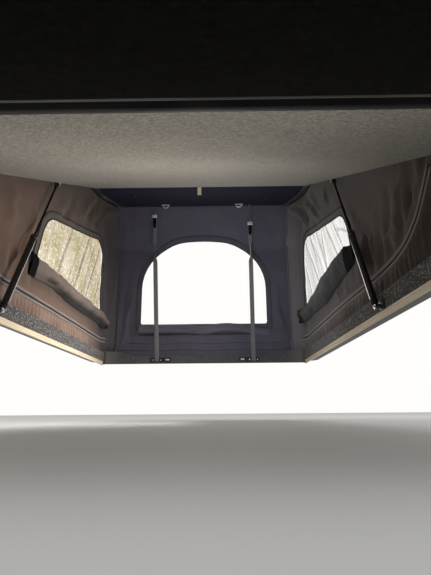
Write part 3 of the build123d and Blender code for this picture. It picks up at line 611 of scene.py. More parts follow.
flapRun = {
    # millimetres: place along, bottom height, top height, thickness
    -1: metres((
        (25, 192, 274, 14), (200, 204, 276, 16.5), (400, 192, 271, 26), (700, 194, 267, 31), (900, 194, 264, 34),
        (990, 182, 256, 34), (1030, 182, 236, 26),
    )),
    1: metres((
        (40, 226, 298, 13), (170, 222, 330, 16.5), (300, 210, 326, 26), (500, 190, 316, 31), (700, 197, 290, 32),
        (880, 196, 275, 34), (1040, 204, 282, 30),
    )),
}


def shadeFolds(piece, shades):
    # Where a cloth tucks under itself or under a roll it stays in its own shade
    tuck = piece.data.attributes.new("tuck", "FLOAT", "POINT")
    tuck.data.foreach_set("value", shades)


def sillShade(sign, point):
    # The canvas is in the flap's shade just below it
    below = tableValue([row[:2] for row in flapRun[sign]], point.y) - point.z
    span = ease(0.0, 0.06, point.y) * (1 - ease(1.0, 1.03, point.y))
    return 0.55 * span * (below > -0.03) * (1 - ease(-0.005, 0.055, below))


def zipHeight(sign, u):
    # Height of the zip above the rail at a place along it
    return tableValue([(-0.9, 0.5)] + zipRoutes[sign][::-1], u)


pleats = {"pitch": 0.036, "depth": 0.0092, "drapePitch": 0.085, "drapeDepth": 0.0055, "sewn": 0.04}


def sideRipple(sign, u, v):
    # Depth of the cloth's folds, inward positive. The zip's slope gives the way square to it
    slope = (zipHeight(sign, u + 0.012) - zipHeight(sign, u - 0.012)) / 0.024
    gap = (zipHeight(sign, u) - v) / hypot(1.0, slope)
    below = ease(0.01, 0.045, gap) * ease(-0.02, 0.03, v - frameTop)
    rearward = 1 - ease(-0.35, 0.1, u)
    pitch = pleats["pitch"] + 0.012 * drift(u * 3, sign, 0.3)
    wander = drift(u * 9, v * 3, sign * 7.0)
    strength = (0.7 + 0.7 * drift(u * 7, 4.0, sign)) * (1 + 0.45 * rearward)
    pleat = pleats["depth"] * sin(2 * pi * u / pitch + 3 * wander) * strength
    above = ease(0.01, 0.045, -gap) * (1 - ease(0.045, 0.22, -gap)) * (1 - ease(-0.02, 0.1, u))
    drape = pleats["drapeDepth"] * sin(2 * pi * u / pleats["drapePitch"] + 2 * wander)
    slow = 0.007 * drift(u * 2.6, v * 3.4, sign * 3.0)
    fine = 0.0035 * drift((u - 0.7 * v) * 14, v * 4, sign * 5.0)
    held = ease(0.0, 0.04, v - tent["footZ"]) * ease(0.0, 0.05, edgeHeight(u) - v)
    sewn = pleats["sewn"] + (1 - pleats["sewn"]) * ease(0.012, 0.08, abs(gap))
    return held * sewn * (slow + fine + 1.6 * foldDepth(sideFolds[sign], u, v)) + below * pleat + above * drape


def edgeHeight(u):
    # Height of the side canvas's sewn top edge
    low, high = tent["liningEnd"]
    if u < low:
        return tent["footZ"] + (high - tent["footZ"]) * (u - tent["rearY"]) / (low - tent["rearY"])
    return high + (tent["headZ"] - high) * min(1.0, (u - low) / 0.36)


def sidePlace(sign, inward=0.0, ripple=1.0):
    def place(u, v):
        start, reachX, radius, whole = cornerTurn(v)
        depth = inward + ripple * sideRipple(sign, u, v)
        if u <= start:
            return Vector((sign * (wallX(v) - depth), u, v))
        turn = min(whole, (u - start) / radius)
        across = wallX(v) - radius * (1 - cos(turn))
        along = start + radius * sin(turn)
        depth *= 1 - 0.6 * ease(0.5, 1.5, turn) if ripple else 1.0
        past = max(0.0, u - start - radius * whole)
        if past:
            return Vector((sign * (across - past), wallFrontY(v) - depth, v))
        return Vector((sign * (across - depth * cos(turn)), along - depth * sin(turn), v))
    return place


def sideOutline():
    # Up the front edge in 28 steps, then back along the head to the lining's end in 10
    points = [(tent["rearY"], tent["footZ"])]
    for k in range(29):
        z = tent["footZ"] + k * (tent["headZ"] - 0.002 - tent["footZ"]) / 28
        start, reachX, radius, whole = cornerTurn(z)
        points.append((start + radius * whole + wallX(z) - reachX - tent["seamX"], z))
    lowY, lowZ = tent["liningEnd"]
    headY = wallFrontY(tent["headZ"])
    for k in range(9, -1, -1):
        z = lowZ + k * (tent["headZ"] - lowZ) / 10
        start, reachX, radius, whole = cornerTurn(z)
        y = lowY + k * (headY - lowY) / 10
        points.append((y if y < start else start + radius * asin((y - start) / radius), z))
    return points


def headRoute():
    # The sewn head of the side canvas
    return [Vector(point) for point in sideOutline()[-11:]]


for sideName, sign in sides:
    cut = flatCut(sideOutline(), [roundedPath(windowCorners)], canvasShape["sideStep"], canvasShape["upStep"])
    canvas = layCloth(
        f"canvas_{sideName}", cut, sidePlace(sign), "side_canvas", canvasShape["thickness"], [f"tent_{sideName}"],
        sideMaterial("side_canvas", sign),
    )
    shadeFolds(canvas, [sillShade(sign, vertex.co) for vertex in canvas.data.vertices])
print("side canvases laid")


# Front canvas, cut as (across, up), with the arched window and a skirt before the frame
def archRoute(side, top):
    # Left side, top and the same side mirrored
    return [*side, top, *[(-x, z, radius) for x, z, radius in side[::-1]]]


archCorners = archRoute([(-0.372, 0.21, 0.012), (-0.372, 0.7, 0.29)], (0.0, 0.722, 1.1))
archHem = archRoute([(-0.402, 0.15, 0.02), (-0.402, 0.732, 0.315)], (0.0, 0.755, 1.15))
# Millimetres, as the side canvas's folds
frontFolds = metres((
    (-420, 400, -470, 120, 16, 7), (-450, 580, -490, 200, 14, -6), (-440, 300, -430, 100, 12, -5),
    (430, 420, 465, 140, 16, 7), (450, 360, 500, 160, 12, -6), (420, 300, 440, 120, 12, 5),
    (-400, 750, -300, 880, 30, 4), (400, 750, 300, 880, 30, 4), (-50, 780, -100, 880, 50, 3),
    (-470, 850, -480, 600, 12, 4), (470, 850, 480, 600, 12, 4),
))


def frontPlace(u, v):
    edge = tent["frontEdgeX"]
    held = ease(0.0, 0.08, v - frameTop) * ease(0.0, 0.05, edge - abs(u)) * ease(0.0, 0.03, tent["headZ"] - v)
    depth = 0.004 * drift(u * 3, v * 2.5, 11.0) + foldDepth(frontFolds, u, v)
    depth += 0.0012 * drift(u * 13, v * 9, 12.0)
    lap = 0.0018 * (1 - ease(0.0, 0.02, edge - abs(u)))
    return Vector((u, wallFrontY(v) + lap - held * depth, v))


skirtTop = frameTop - 0.0005
frontHalf = [(tent["skirtX"], frontLow.z), (tent["skirtX"], skirtTop)]
frontHalf += [(tent["frontEdgeX"], skirtTop), (tent["frontEdgeX"], tent["headZ"])]
frontOutline = [(-frontHalf[0][0], frontLow.z)] + frontHalf + [(-x, z) for x, z in frontHalf[:0:-1]]
cut = flatCut(frontOutline, [roundedPath(archCorners, 10)], canvasShape["frontStep"], canvasShape["upStep"])
frontCanvas = layCloth(
    "canvas_front", cut, frontPlace, "front_canvas", canvasShape["thickness"], ["tent_front"],
)
print("front canvas laid")


# Window films: clear, creased sheets behind the side windows
filmCreases = {
    # millimetres, as the side canvas's folds
    -1: metres((
        (400, 530, 280, 270, 5, 6), (430, 540, 310, 270, 4, -4), (650, 600, 500, 280, 4, 6),
        (680, 600, 530, 280, 6, -4), (840, 600, 680, 280, 5, 6), (200, 480, 150, 300, 8, 3),
        (580, 570, 420, 270, 5, -3), (920, 500, 820, 270, 6, 4), (760, 620, 620, 300, 10, 3),
    )),
    1: metres((
        (820, 610, 610, 320, 4, 8), (480, 520, 440, 320, 5, 8), (390, 530, 240, 310, 6, 8),
        (300, 500, 150, 280, 5, -5), (900, 520, 770, 270, 6, 6), (600, 570, 470, 330, 12, -5),
        (220, 440, 100, 380, 5, 8), (700, 600, 620, 450, 4, 5), (720, 610, 550, 420, 12, 3),
    )),
}
filmShape = {"thickness": 0.0005, "behind": 0.007, "inMost": 0.005, "outMost": 0.006, "step": 0.0055, "upStep": 0.01}
filmCorners = [(0.05, 0.256, 0.02), (0.084, 0.465, 0.12), (0.878, 0.68, 0.1), (0.964, 0.234, 0.02)]


def filmPlace(sign):
    def place(u, v):
        slant = u - 0.45 * (v - 0.4)
        ripple = 0.002 * drift(slant * 16, v * 2.2, sign * 9.0) + 0.0006 * drift(slant * 60, v * 7, sign * 2.0)
        depth = ripple + foldDepth(filmCreases[sign], u, v)
        depth = max(-filmShape["outMost"], min(filmShape["inMost"], depth))
        return Vector((sign * (wallX(v) + filmShape["behind"] - depth), u, v))
    return place


for sideName, sign in sides:
    cut = flatCut(roundedPath(filmCorners), [], filmShape["step"], filmShape["upStep"])
    film = layCloth(
        f"film_{sideName}", cut, filmPlace(sign), "window_film", filmShape["thickness"],
        [f"window_film_{sideName}"], sideMaterial("window_film", sign),
    )
    crease = film.data.attributes.new("crease", "FLOAT", "POINT")
    for item, vertex in zip(crease.data, film.data.vertices):
        item.value = min(1.0, abs(foldDepth(filmCreases[sign], vertex.co.y, vertex.co.z)) / 0.006)
print("films laid")


def smoothRoute(points):
    # A smooth line near the points, as (along, up)
    curve = bpy.data.curves.new("route", "CURVE")
    curve.dimensions = "3D"
    curve.resolution_u = 10
    spline = addSpline(curve, "NURBS", points, False)
    spline.order_u = 3
    spline.use_endpoint_u = True
    mesh = curveMesh(curve)
    line = [vertex.co.xy for vertex in mesh.vertices]
    bpy.data.meshes.remove(mesh)
    return line


def routeLengths(line, closed=False):
    lengths = [0.0]
    for a, b in zip(line, line[1:] + (line[:1] if closed else [])):
        lengths.append(lengths[-1] + (b - a).length)
    return lengths


def onRoute(line, lengths, distance, closed=False):
    # Point and sideways direction at a distance along the line
    distance = distance % lengths[-1] if closed else max(0.0, min(lengths[-1], distance))
    k = 0
    while k < len(lengths) - 2 and lengths[k + 1] < distance:
        k += 1
    a, b = line[k], line[(k + 1) % len(line)]
    run = (b - a).normalized()
    return a + run * (distance - lengths[k]), Vector((-run.y, run.x))


tentMiddle = Vector((0, 0, 0.4))


def inwardNormal(place, u, v):
    # A point of the cloth and the direction into the tent there
    surface = place(u, v)
    upward = place(u, v + 0.002) - surface
    normal = (place(u + 0.002, v) - surface).cross(upward).normalized()
    if normal.dot(tentMiddle - surface) < 0:
        normal.negate()
    return surface, normal


def bandPlace(line, place, lift, closed=False, crown=0.0, width=1.0):
    # For bands that follow a line on the cloth: hems round the windows, tapes of the zip
    lengths = routeLengths(line, closed)

    def put(u, v):
        point, sideways = onRoute(line, lengths, u, closed)
        surface, normal = inwardNormal(place, *(point + sideways * v))
        return surface + normal * (lift + crown * (1 - (2 * v / width) ** 2))
    return put


bandStep, cordStep = 0.012, 0.01


def bandAlong(name, line, width, place, lift, slotName, material, closed=False, crown=0.0):
    total = routeLengths(line, closed)[-1]
    strip = flatStrip(width, total, 3, int(total / bandStep))
    put = bandPlace(line, place, lift, closed, crown, width)
    return layCloth(name, strip, put, slotName, 0.0006, material=material)


def cordMesh(name, points, radius, closed=False):
    # A round cord through points in space
    curve = bpy.data.curves.new(name, "CURVE")
    curve.dimensions = "3D"
    curve.bevel_depth = radius
    curve.bevel_resolution = 2
    curve.use_fill_caps = True
    addSpline(curve, "POLY", points, closed).use_smooth = True
    mesh = curveMesh(curve)
    mesh.name = name
    return mesh


def cordAlong(name, line, radius, place, lift, slotName, material, closed=False, wave=None):
    # A round piping laid on the cloth along a line
    total = routeLengths(line, closed)[-1]
    count = int(total / cordStep)
    put = bandPlace(line, place, lift, closed)
    points = []
    for k in range(count):
        distance = total * k / (count if closed else count - 1)
        points.append(put(distance, wave(distance) if wave else 0.0))
    return keepPiece(name, cordMesh(name, points, radius, closed), slotName, material, keep=clothKeep)


def midRoute(inner, outer):
    return [(Vector(a) + Vector(b)) / 2 for a, b in zip(inner, outer)]


def pipingWave(distance):
    return 0.0022 * drift(distance * 28, 0.0, 3.0) + 0.0012 * drift(distance * 70, 0.0, 8.0)


hemShape = {"width": 0.03, "sideLift": 0.0016, "frontLift": 0.0015, "innerRadius": 0.0026, "outerRadius": 0.002}
zipShape = {"tapeWidth": 0.0105, "lift": 0.002, "upper": 0.0085, "lower": -0.0085, "slit": 0.0025, "crown": 0.0016}
seamShape = {"cornerRadius": 0.0016, "headRadius": 0.004, "headInset": 0.005, "lowRadius": 0.0012, "lift": 0.0012}
for sideName, sign in sides:
    surface = sidePlace(sign)
    windowLine, hemLine = roundedPath(windowCorners), roundedPath(hemCorners)
    midLine = midRoute(windowLine, hemLine)
    bandAlong(
        f"window_hem_{sideName}", midLine, hemShape["width"], surface, hemShape["sideLift"], "flap_canvas",
        hemMaterial, True,
    )
    for label, line in (("inner", windowLine), ("outer", hemLine)):
        cordAlong(
            f"window_piping_{label}_{sideName}", line, hemShape[label + "Radius"], surface, 0.0022, "flap_canvas",
            pipingMaterial, True, pipingWave,
        )
    zipLine = smoothRoute(zipRoutes[sign])
    lengths = routeLengths(zipLine)
    for label in ("upper", "lower"):
        tapeLine = [onRoute(zipLine, lengths, lengths[-1] * k / 80) for k in range(81)]
        tapeLine = [point - sideways * zipShape[label] for point, sideways in tapeLine]
        bandAlong(
            f"zip_tape_{label}_{sideName}", tapeLine, zipShape["tapeWidth"], surface, zipShape["lift"],
            "flap_canvas", tapeMaterial, crown=zipShape["crown"],
        )
    cordAlong(f"zip_slit_{sideName}", zipLine, zipShape["slit"], surface, 0.0016, "flap_canvas", pipingMaterial)
    seamLine = []
    for k in range(40):
        z = 0.052 + k * 0.0215
        start, reachX, radius, whole = cornerTurn(z)
        past = max(0.0, wallX(z) - reachX - tent["frontEdgeX"] - 0.001)
        seamLine.append(Vector((start + radius * whole + past, z)))
    seamSurface, headSurface = sidePlace(sign, 0.0, 0.4), sidePlace(sign, 0.0, 0.0)
    radius = seamShape["cornerRadius"]
    cordAlong(f"corner_seam_{sideName}", seamLine, radius, seamSurface, radius, "side_canvas", pipingMaterial)
    headLine = [point - Vector((0.0, seamShape["headInset"])) for point in headRoute()]
    radius = seamShape["headRadius"]
    cordAlong(f"head_piping_{sideName}", headLine, radius, headSurface, radius, "side_canvas", pipingMaterial)

archLine, archHemLine = roundedPath(archCorners, 10), roundedPath(archHem, 10)
archMiddle = midRoute(archLine, archHemLine)
bandAlong(
    "arch_hem", archMiddle, hemShape["width"], frontPlace, hemShape["frontLift"], "front_canvas", darkHemMaterial, True,
)
radius = hemShape["outerRadius"]
cordAlong("arch_piping", archLine, radius, frontPlace, radius, "front_canvas", pipingMaterial, True)
cordAlong("arch_seam", archHemLine, 0.0008, frontPlace, seamShape["lift"], "front_canvas", darkHemMaterial, True)
for k, (z, half) in enumerate(((0.099, 0.46), (0.06, 0.5))):
    seamLine = [Vector((-half + 2 * half * i / 20, z + 0.003 * sin(i))) for i in range(21)]
    radius = seamShape["lowRadius"]
    cordAlong(f"low_seam_{k}", seamLine, radius, frontPlace, seamShape["lift"], "front_canvas", pipingMaterial)
print("hems and zips laid")


# Flaps: each a sheet rolled over below its window
rollSection = [
    # (inward, up) as shares of the roll, from the sill out over it, under it and up inside
    (0.03, 0.90), (0.16, 0.985), (0.40, 1.0), (0.68, 0.96), (0.90, 0.86), (1.0, 0.72), (0.99, 0.56), (0.90, 0.40),
    (0.74, 0.24), (0.54, 0.10), (0.34, 0.01), (0.16, 0.0), (0.08, 0.10), (0.2, 0.28), (0.34, 0.5),
]
rollDepth, rollHeight = 0.026, 0.075
sectionLine = [Vector((rollDepth * inward, rollHeight * up)) for inward, up in rollSection]
sectionLengths = routeLengths(sectionLine)
rollWidth = sectionLengths[-1]
flapTip = {"start": 0.94, "end": 1.035, "fray": 0.018}
flapShape = {"thickness": 0.001, "across": 36, "along": 125, "frontAlong": 95}
# A black band over each roll, a strap on the left and painted shade at the flap's rear end on the right: where it
# starts, its length, and how it stands off the roll
flapTabsAndShade = {-1: (0.012, 0.05), 1: (0.03, 0.11), "grow": 1.06, "along": 8, "thickness": 0.0012}


def runValue(rows, u):
    # Like tableValue, but eased from row to row and with several values in a row
    if u <= rows[0][0]:
        return rows[0][1:]
    for a, b in zip(rows, rows[1:]):
        if u <= b[0]:
            share = ease(a[0], b[0], u)
            return [p + share * (q - p) for p, q in zip(a[1:], b[1:])]
    return rows[-1][1:]


def rollPlace(sign, startU, grow=1.0, shades=None):
    wall = sidePlace(sign, 0.0, 0.0)

    def place(u, v):
        along = startU + u
        (inward, up), _ = onRoute(sectionLine, sectionLengths, v + rollWidth / 2)
        bottom, top, thick = runValue(flapRun[sign], along)
        share = (v + rollWidth / 2) / rollWidth
        crease = drift(along * 9 + 2 * share, share * 3, sign * 4.0)
        fine = drift(along * 26 + 6 * share, share * 7, sign * 6.0)
        z = bottom + (top - bottom) * grow * up / rollHeight + 0.003 * crease * (share > 0.1) + 0.002 * fine
        depth = max(0.0022, grow * thick * inward / rollDepth * (1 + 0.22 * crease) + 0.0028 * fine)
        along += flapTip["fray"] * ease(flapTip["start"], flapTip["end"], along) * drift(share * 7, sign, 2.0)
        # Painted shade on the roll's underside and in its creases, lighter toward the rear end
        if shades is not None:
            height = up / rollHeight
            under = (1 - ease(0.16, 0.6, height + 0.15 * crease)) * (0.45 + 0.55 * ease(0.12, 0.36, along))
            shades.append(min(1.0, 0.97 * under + 0.4 * ease(0.1, 0.5, -crease) * (1 - height)))
        surface, normal = inwardNormal(wall, along, z)
        return surface + normal * depth
    return place


for sideName, sign in sides:
    startU, shades = flapRun[sign][0][0], []
    strip = flatStrip(rollWidth, flapTip["end"] - startU, flapShape["across"], flapShape["along"])
    flap = layCloth(
        f"flap_{sideName}", strip, rollPlace(sign, startU, 1.0, shades), "flap_canvas", flapShape["thickness"],
        [f"window_flap_{sideName}"], sideMaterial("flap_canvas", sign), smooth=1,
    )
    shadeFolds(flap, shades)
    # The right band is a black sheet where the flap's rear end is in shade: painted shade
    tabStart, tabLength = flapTabsAndShade[sign]
    tab = flatStrip(rollWidth, tabLength, flapShape["across"], flapTabsAndShade["along"])
    layCloth(
        f"flap_tab_and_shade_{sideName}", tab, rollPlace(sign, tabStart, flapTabsAndShade["grow"]), "flap_canvas",
        flapTabsAndShade["thickness"], material=tabAndShadeMaterial, smooth=1,
    )

foldShape = {"width": 0.76, "height": 0.178, "size": 0.84, "thick": 0.8}
foldWidth, frontShades = foldShape["size"] * rollWidth, []


def frontFlapPlace(u, v):
    share = v / foldWidth + 0.5
    (inward, up), _ = onRoute(sectionLine, sectionLengths, share * rollWidth)
    across = u - foldShape["width"] / 2
    crease = drift(across * 9, share * 2, 31.0)
    fine = drift(across * 30, share * 7, 32.0)
    sag = 0.014 * exp(-((across + 0.014) / 0.06) ** 2) - 0.007 * exp(-((across - 0.13) / 0.06) ** 2)
    sag += 0.026 * ease(0.2, 0.37, across) * (up > 0.0)
    # Painted shade under the fold and in its crevices
    crevice = 0.5 * ease(0.1, 0.5, -crease) * (1 - up / rollHeight)
    frontShades.append(min(1.0, 0.9 * (1 - ease(0.004, 0.03, up)) + crevice))
    raised = (up - rollHeight / 2) * foldShape["size"]
    z = foldShape["height"] + raised - sag * (share < 0.6) + 0.003 * crease + 0.001 * fine
    depth = 0.003 + inward * foldShape["thick"] * (1 + 0.2 * crease) + 0.001 * fine
    return Vector((across, wallFrontY(z) - max(0.0025, depth), z))


strip = flatStrip(foldWidth, foldShape["width"], flapShape["across"], flapShape["frontAlong"])
frontFlap = layCloth(
    "flap_front", strip, frontFlapPlace, "front_canvas", flapShape["thickness"], ["front_flap"],
    frontFlapMaterial, smooth=1,
)
shadeFolds(frontFlap, frontShades)
print("flaps laid")


# Straps: webbing from the front trim up to the nose, turned on edge below the buckle and above it
strapShape = {
    "width": 0.025, "thickness": 0.0014, "twist": 80, "twistLow": 0.56, "twistHigh": 0.6, "backLow": 0.66,
    "backHigh": 0.7, "topTwist": 82,
}
strapX = {-1: (-0.268, -0.290), 1: (0.284, 0.278)}


def strapPlace(sign):
    low, high = strapX[sign]
    lowBox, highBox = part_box("strap_left" if sign < 0 else "strap_right")

    def place(u, v):
        z = lowBox.z + 0.0005 + u
        share = (z - lowBox.z) / (highBox.z - lowBox.z)
        y = highBox.y + share * (lowBox.y - highBox.y) - 0.0008
        x = low + (high - low) * share
        turn = radians(strapShape["twist"]) * ease(strapShape["twistLow"], strapShape["twistHigh"], z)
        turn *= 1 - ease(strapShape["backLow"], strapShape["backHigh"], z)
        turn += radians(strapShape["topTwist"]) * ease(0.012, 0.03, z - buckleShape[sign]["frameZ"])
        return Vector((x + v * cos(turn), y - v * sin(turn), z))
    return place


def softBox(bm, centre, size, bevel, turn=None):
    # A box with rounded edges, turned and moved to its place
    made = bmesh.ops.create_cube(bm, size=1.0)["verts"]
    bmesh.ops.scale(bm, vec=size, verts=made)
    edges = list({edge for vertex in made for edge in vertex.link_edges})
    rounded = bmesh.ops.bevel(bm, geom=edges, offset=bevel, segments=3, profile=0.5, affect="EDGES", material=-1)
    made = list({vertex for face in rounded["faces"] for vertex in face.verts} | {v for v in made if v.is_valid})
    bmesh.ops.transform(bm, matrix=Matrix.Translation(centre) @ (turn or Matrix.Identity(4)), verts=made)


def standing(place, axis):
    # From along Z to a place and a direction
    return Matrix.Translation(place) @ Vector(axis).to_track_quat("Z", "Y").to_matrix().to_4x4()


def screwHead(bm, centre, normal, radius, height):
    # A domed head with a flat sunk in its top
    made = bmesh.ops.create_cone(
        bm, cap_ends=True, segments=20, radius1=radius, radius2=0.72 * radius, depth=height,
    )["verts"]
    top = [face for face in {f for v in made for f in v.link_faces} if face.normal.z > 0.9]
    inset = bmesh.ops.inset_region(bm, faces=top, thickness=0.42 * radius, depth=0.0)["faces"]
    bmesh.ops.translate(bm, vec=(0, 0, -0.45 * height), verts=list({v for face in top for v in face.verts}))
    made = list(set(made) | {v for face in top for v in face.verts} | {v for face in inset for v in face.verts})
    bmesh.ops.transform(bm, matrix=standing(centre, normal), verts=made)


def rigidPiece(name, bm, slotName, body="base", material=None, keep=None):
    for face in bm.faces:
        face.smooth = True
    return keepPiece(name, pieceMesh(name, bm), slotName, material or materials[slotName], body, keep)


buckleShape = {
    # side: height of the bright frame, height of the black body below it and its length
    -1: {"frameZ": 0.838, "bodyZ": 0.797, "bodyLength": 0.06},
    1: {"frameZ": 0.787, "bodyZ": 0.748, "bodyLength": 0.055},
    "frame": (0.028, 0.005, 0.018), "ahead": 0.006, "tilt": 28, "bevel": 0.0012,
    "bar": (0.03, 0.005, 0.0035), "barOffset": 0.0095, "bodyWidth": 0.02, "bodyThickness": 0.0035,
}
for sideName, sign in sides:
    lowBox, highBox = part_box(f"strap_{sideName}")
    length = highBox.z - lowBox.z - 0.001
    strip, put = flatStrip(strapShape["width"], length, 4, 110), strapPlace(sign)
    strap = layCloth(
        f"webbing_{sideName}", strip, put, "grey_webbing", strapShape["thickness"], [f"strap_{sideName}"],
    )
    shape = buckleShape[sign]
    middle = put(shape["frameZ"] - lowBox.z, 0.0) + Vector((0, -buckleShape["ahead"], 0))
    bm = bmesh.new()
    tilt = Matrix.Rotation(radians(-buckleShape["tilt"]), 4, "X")
    softBox(bm, middle, buckleShape["frame"], buckleShape["bevel"], tilt)
    for side in (-1, 1):
        barPlace = middle + tilt @ Vector((0, -0.001, side * buckleShape["barOffset"]))
        softBox(bm, barPlace, buckleShape["bar"], buckleShape["bevel"], tilt)
    rigidPiece(f"buckle_frame_{sideName}", bm, "chrome_fittings", material=brightMaterial, keep=clothKeep)
    bodyWidth, bodyLength = buckleShape["bodyWidth"], shape["bodyLength"]
    bodyBase = shape["bodyZ"] - bodyLength / 2 - lowBox.z

    def bodyPlace(u, v):
        taper = 0.7 + 0.3 * ease(0.0, 0.5 * bodyLength, u)
        swell = 0.004 + 0.002 * sin(pi * u / bodyLength) + 0.003 * (1 - (2 * v / bodyWidth) ** 2)
        return put(bodyBase + u, v * taper) - Vector((0, swell, 0))

    bodyStrip = flatStrip(bodyWidth, bodyLength, 6, 18)
    layCloth(
        f"buckle_tail_{sideName}", bodyStrip, bodyPlace, "grey_webbing", buckleShape["bodyThickness"],
        material=tabAndShadeMaterial, smooth=1,
    )
print("straps laid")

# Small fittings: screws and buttons on the strap plates, screws beside the catches, pipings and caps
plateLow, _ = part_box("strap_plates")
plateFittings = {
    "height": 0.004, "screwOffset": 0.0225, "screwRadius": 0.0042, "screwY": 1.0367,
    "buttonX": {-1: -0.207, 1: 0.221}, "buttonGap": 0.0105, "buttonSize": (0.0085, 0.0024, 0.0085),
}
bmScrews, bmButtons = bmesh.new(), bmesh.new()
for sideName, sign in sides:
    for offset in (-1, 1):
        screwX = strapX[sign][0] + offset * plateFittings["screwOffset"]
        screwPlace = (screwX, plateFittings["screwY"], plateFittings["height"])
        screwHead(bmScrews, screwPlace, (0, -1, 0.15), plateFittings["screwRadius"], 0.0024)
        buttonX = plateFittings["buttonX"][sign] + offset * plateFittings["buttonGap"] / 2
        buttonPlace = Vector((buttonX, plateLow.y - 0.0006, plateFittings["height"]))
        softBox(bmButtons, buttonPlace, plateFittings["buttonSize"], 0.0006)
rigidPiece("plate_screws", bmScrews, "chrome_fittings")
rigidPiece("socket_buttons", bmButtons, "pale_strip")

panelLow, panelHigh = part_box("nose_panel")
panelSlope = atan2(panelHigh.z - panelLow.z - 0.004, panelHigh.y - panelLow.y)
underNormal = Vector((0, sin(panelSlope), -cos(panelSlope)))
catchLow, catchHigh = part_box("nose_catches")
hookLow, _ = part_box("roof_hooks")


def underPanel(y):
    # Height of the nose panel's underside
    return panelLow.z + (y - panelLow.y) * tan(panelSlope)


# A black welt along each side of the nose panel closes the gap to the canvas
weltShape = {"reach": 0.034, "drop": 0.0009, "thickness": 0.0012}
for sideName, sign in sides:
    headLine = headRoute()
    lengths = routeLengths(headLine)
    wall = sidePlace(sign, 0.0008, 0.0)
    bm = flatStrip(weltShape["reach"], lengths[-1], 3, 36)
    for vertex in bm.verts:
        point, _ = onRoute(headLine, lengths, vertex.co.x)
        edge = wall(point.x, point.y)
        across = edge.x - sign * (vertex.co.y + weltShape["reach"] / 2)
        vertex.co = (across, edge.y, underPanel(edge.y) - weltShape["drop"])
    addWall(rigidPiece(f"panel_welt_{sideName}", bm, "seal_rubber", "roof"), weltShape["thickness"])

panelScrews = {
    # places across, then how far a screw stands off the panel
    "catches": ((-0.222, 0.215), 0.001), "catchGap": 0.03, "hooks": ((-0.373, 0.36), 0.0042), "size": (0.0036, 0.002),
}
catchX, catchLift = panelScrews["catches"]
catchY = (catchLow.y + catchHigh.y) / 2 - 0.004
screws = [(x + side * panelScrews["catchGap"], catchY, catchLift) for x in catchX for side in (-1, 1)]
hookX, hookLift = panelScrews["hooks"]
screws += [(x, hookLow.y + 0.006, hookLift) for x in hookX]
bm = bmesh.new()
for x, y, lift in screws:
    screwHead(bm, Vector((x, y, underPanel(y))) + underNormal * lift, underNormal, *panelScrews["size"])
rigidPiece("panel_screws", bm, "chrome_fittings", "roof")


def edgePiping(name, points, radius, material):
    keepPiece(name, cordMesh(name, points, radius), "grey_felt", material)


boardLow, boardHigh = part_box("rear_board")
boardEdge = [(x, boardHigh.y - 0.001, boardLow.z + 0.002) for x in (boardLow.x + 0.002, 0.0, boardHigh.x - 0.002)]
edgePiping("rear_board_piping", boardEdge, 0.0022, greyPipingMaterial)

trimLow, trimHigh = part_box("front_trim")
trimShape = {"earX": 0.5665, "earRadius": 0.0013, "capSize": (0.012, 0.011, 0.021), "capAhead": 0.0035}
for sideName, sign in sides:
    earEdge = [
        (sign * trimShape["earX"], trimLow.y - 0.0006, z) for z in (trimLow.z + 0.002, 0.02, trimHigh.z - 0.003)
    ]
    edgePiping(f"ear_piping_{sideName}", earEdge, trimShape["earRadius"], pipingMaterial)
    stripLow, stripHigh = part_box(f"edge_strip_{sideName}")
    middleX, middleZ = (stripLow.x + stripHigh.x) / 2, (stripLow.z + stripHigh.z) / 2
    bm = bmesh.new()
    softBox(bm, Vector((middleX, stripHigh.y + trimShape["capAhead"], middleZ)), trimShape["capSize"], 0.002)
    rigidPiece(f"strip_cap_{sideName}", bm, "black_plastic")


def turnedPiece(name, profile, origin, axis, slotName, body, material=None):
    # A profile of (along, radius) turned round an axis
    bm = bmesh.new()
    points = [bm.verts.new((radius, 0.0, along)) for along, radius in profile]
    edges = [bm.edges.new(pair) for pair in zip(points, points[1:])]
    bmesh.ops.spin(
        bm, geom=points + edges, cent=(0, 0, 0), axis=(0, 0, 1), angle=2 * pi, steps=28, use_merge=True,
    )
    bmesh.ops.remove_doubles(bm, verts=bm.verts, dist=1e-6)
    bmesh.ops.transform(bm, matrix=standing(origin, axis), verts=bm.verts)
    bmesh.ops.recalc_face_normals(bm, faces=bm.faces)
    return rigidPiece(name, bm, slotName, body, material)


# Struts: a gland collar and a boot on the tube, a cup and its clip on the rod's ball, small bolts at the foot
strutShape = {
    "x": 0.556, "foot": (-0.195, 0.009), "socket": 0.007, "tubeEnd": 0.34,
    "tube_collar": (
        (-0.016, 0.011), (-0.016, 0.0122), (-0.003, 0.0124), (0.0, 0.0116), (0.003, 0.009), (0.003, 0.0044),
    ),
    "ball_cup": (
        (-0.026, 0.004), (-0.026, 0.0066), (-0.014, 0.0078), (-0.008, 0.0104), (0.0, 0.0112), (0.006, 0.0096),
        (0.0104, 0.0052), (0.0112, 0.0),
    ),
    "cup_clip": ((-0.0016, 0.0106), (-0.0016, 0.0122), (0.0008, 0.0122), (0.0008, 0.0106), (-0.0016, 0.0106)),
    "foot_boot": ((0.009, 0.0), (0.009, 0.0085), (0.014, 0.0108), (0.024, 0.0118), (0.027, 0.0112)),
    # each bolt: inward from the foot, along, up, radius, height
    "bolts": (
        (-0.0142, -0.014, 0.009, 0.0028, 0.002), (-0.0142, 0.014, 0.009, 0.0028, 0.002),
        (0.0064, 0, 0, 0.0034, 0.0024),
    ),
}
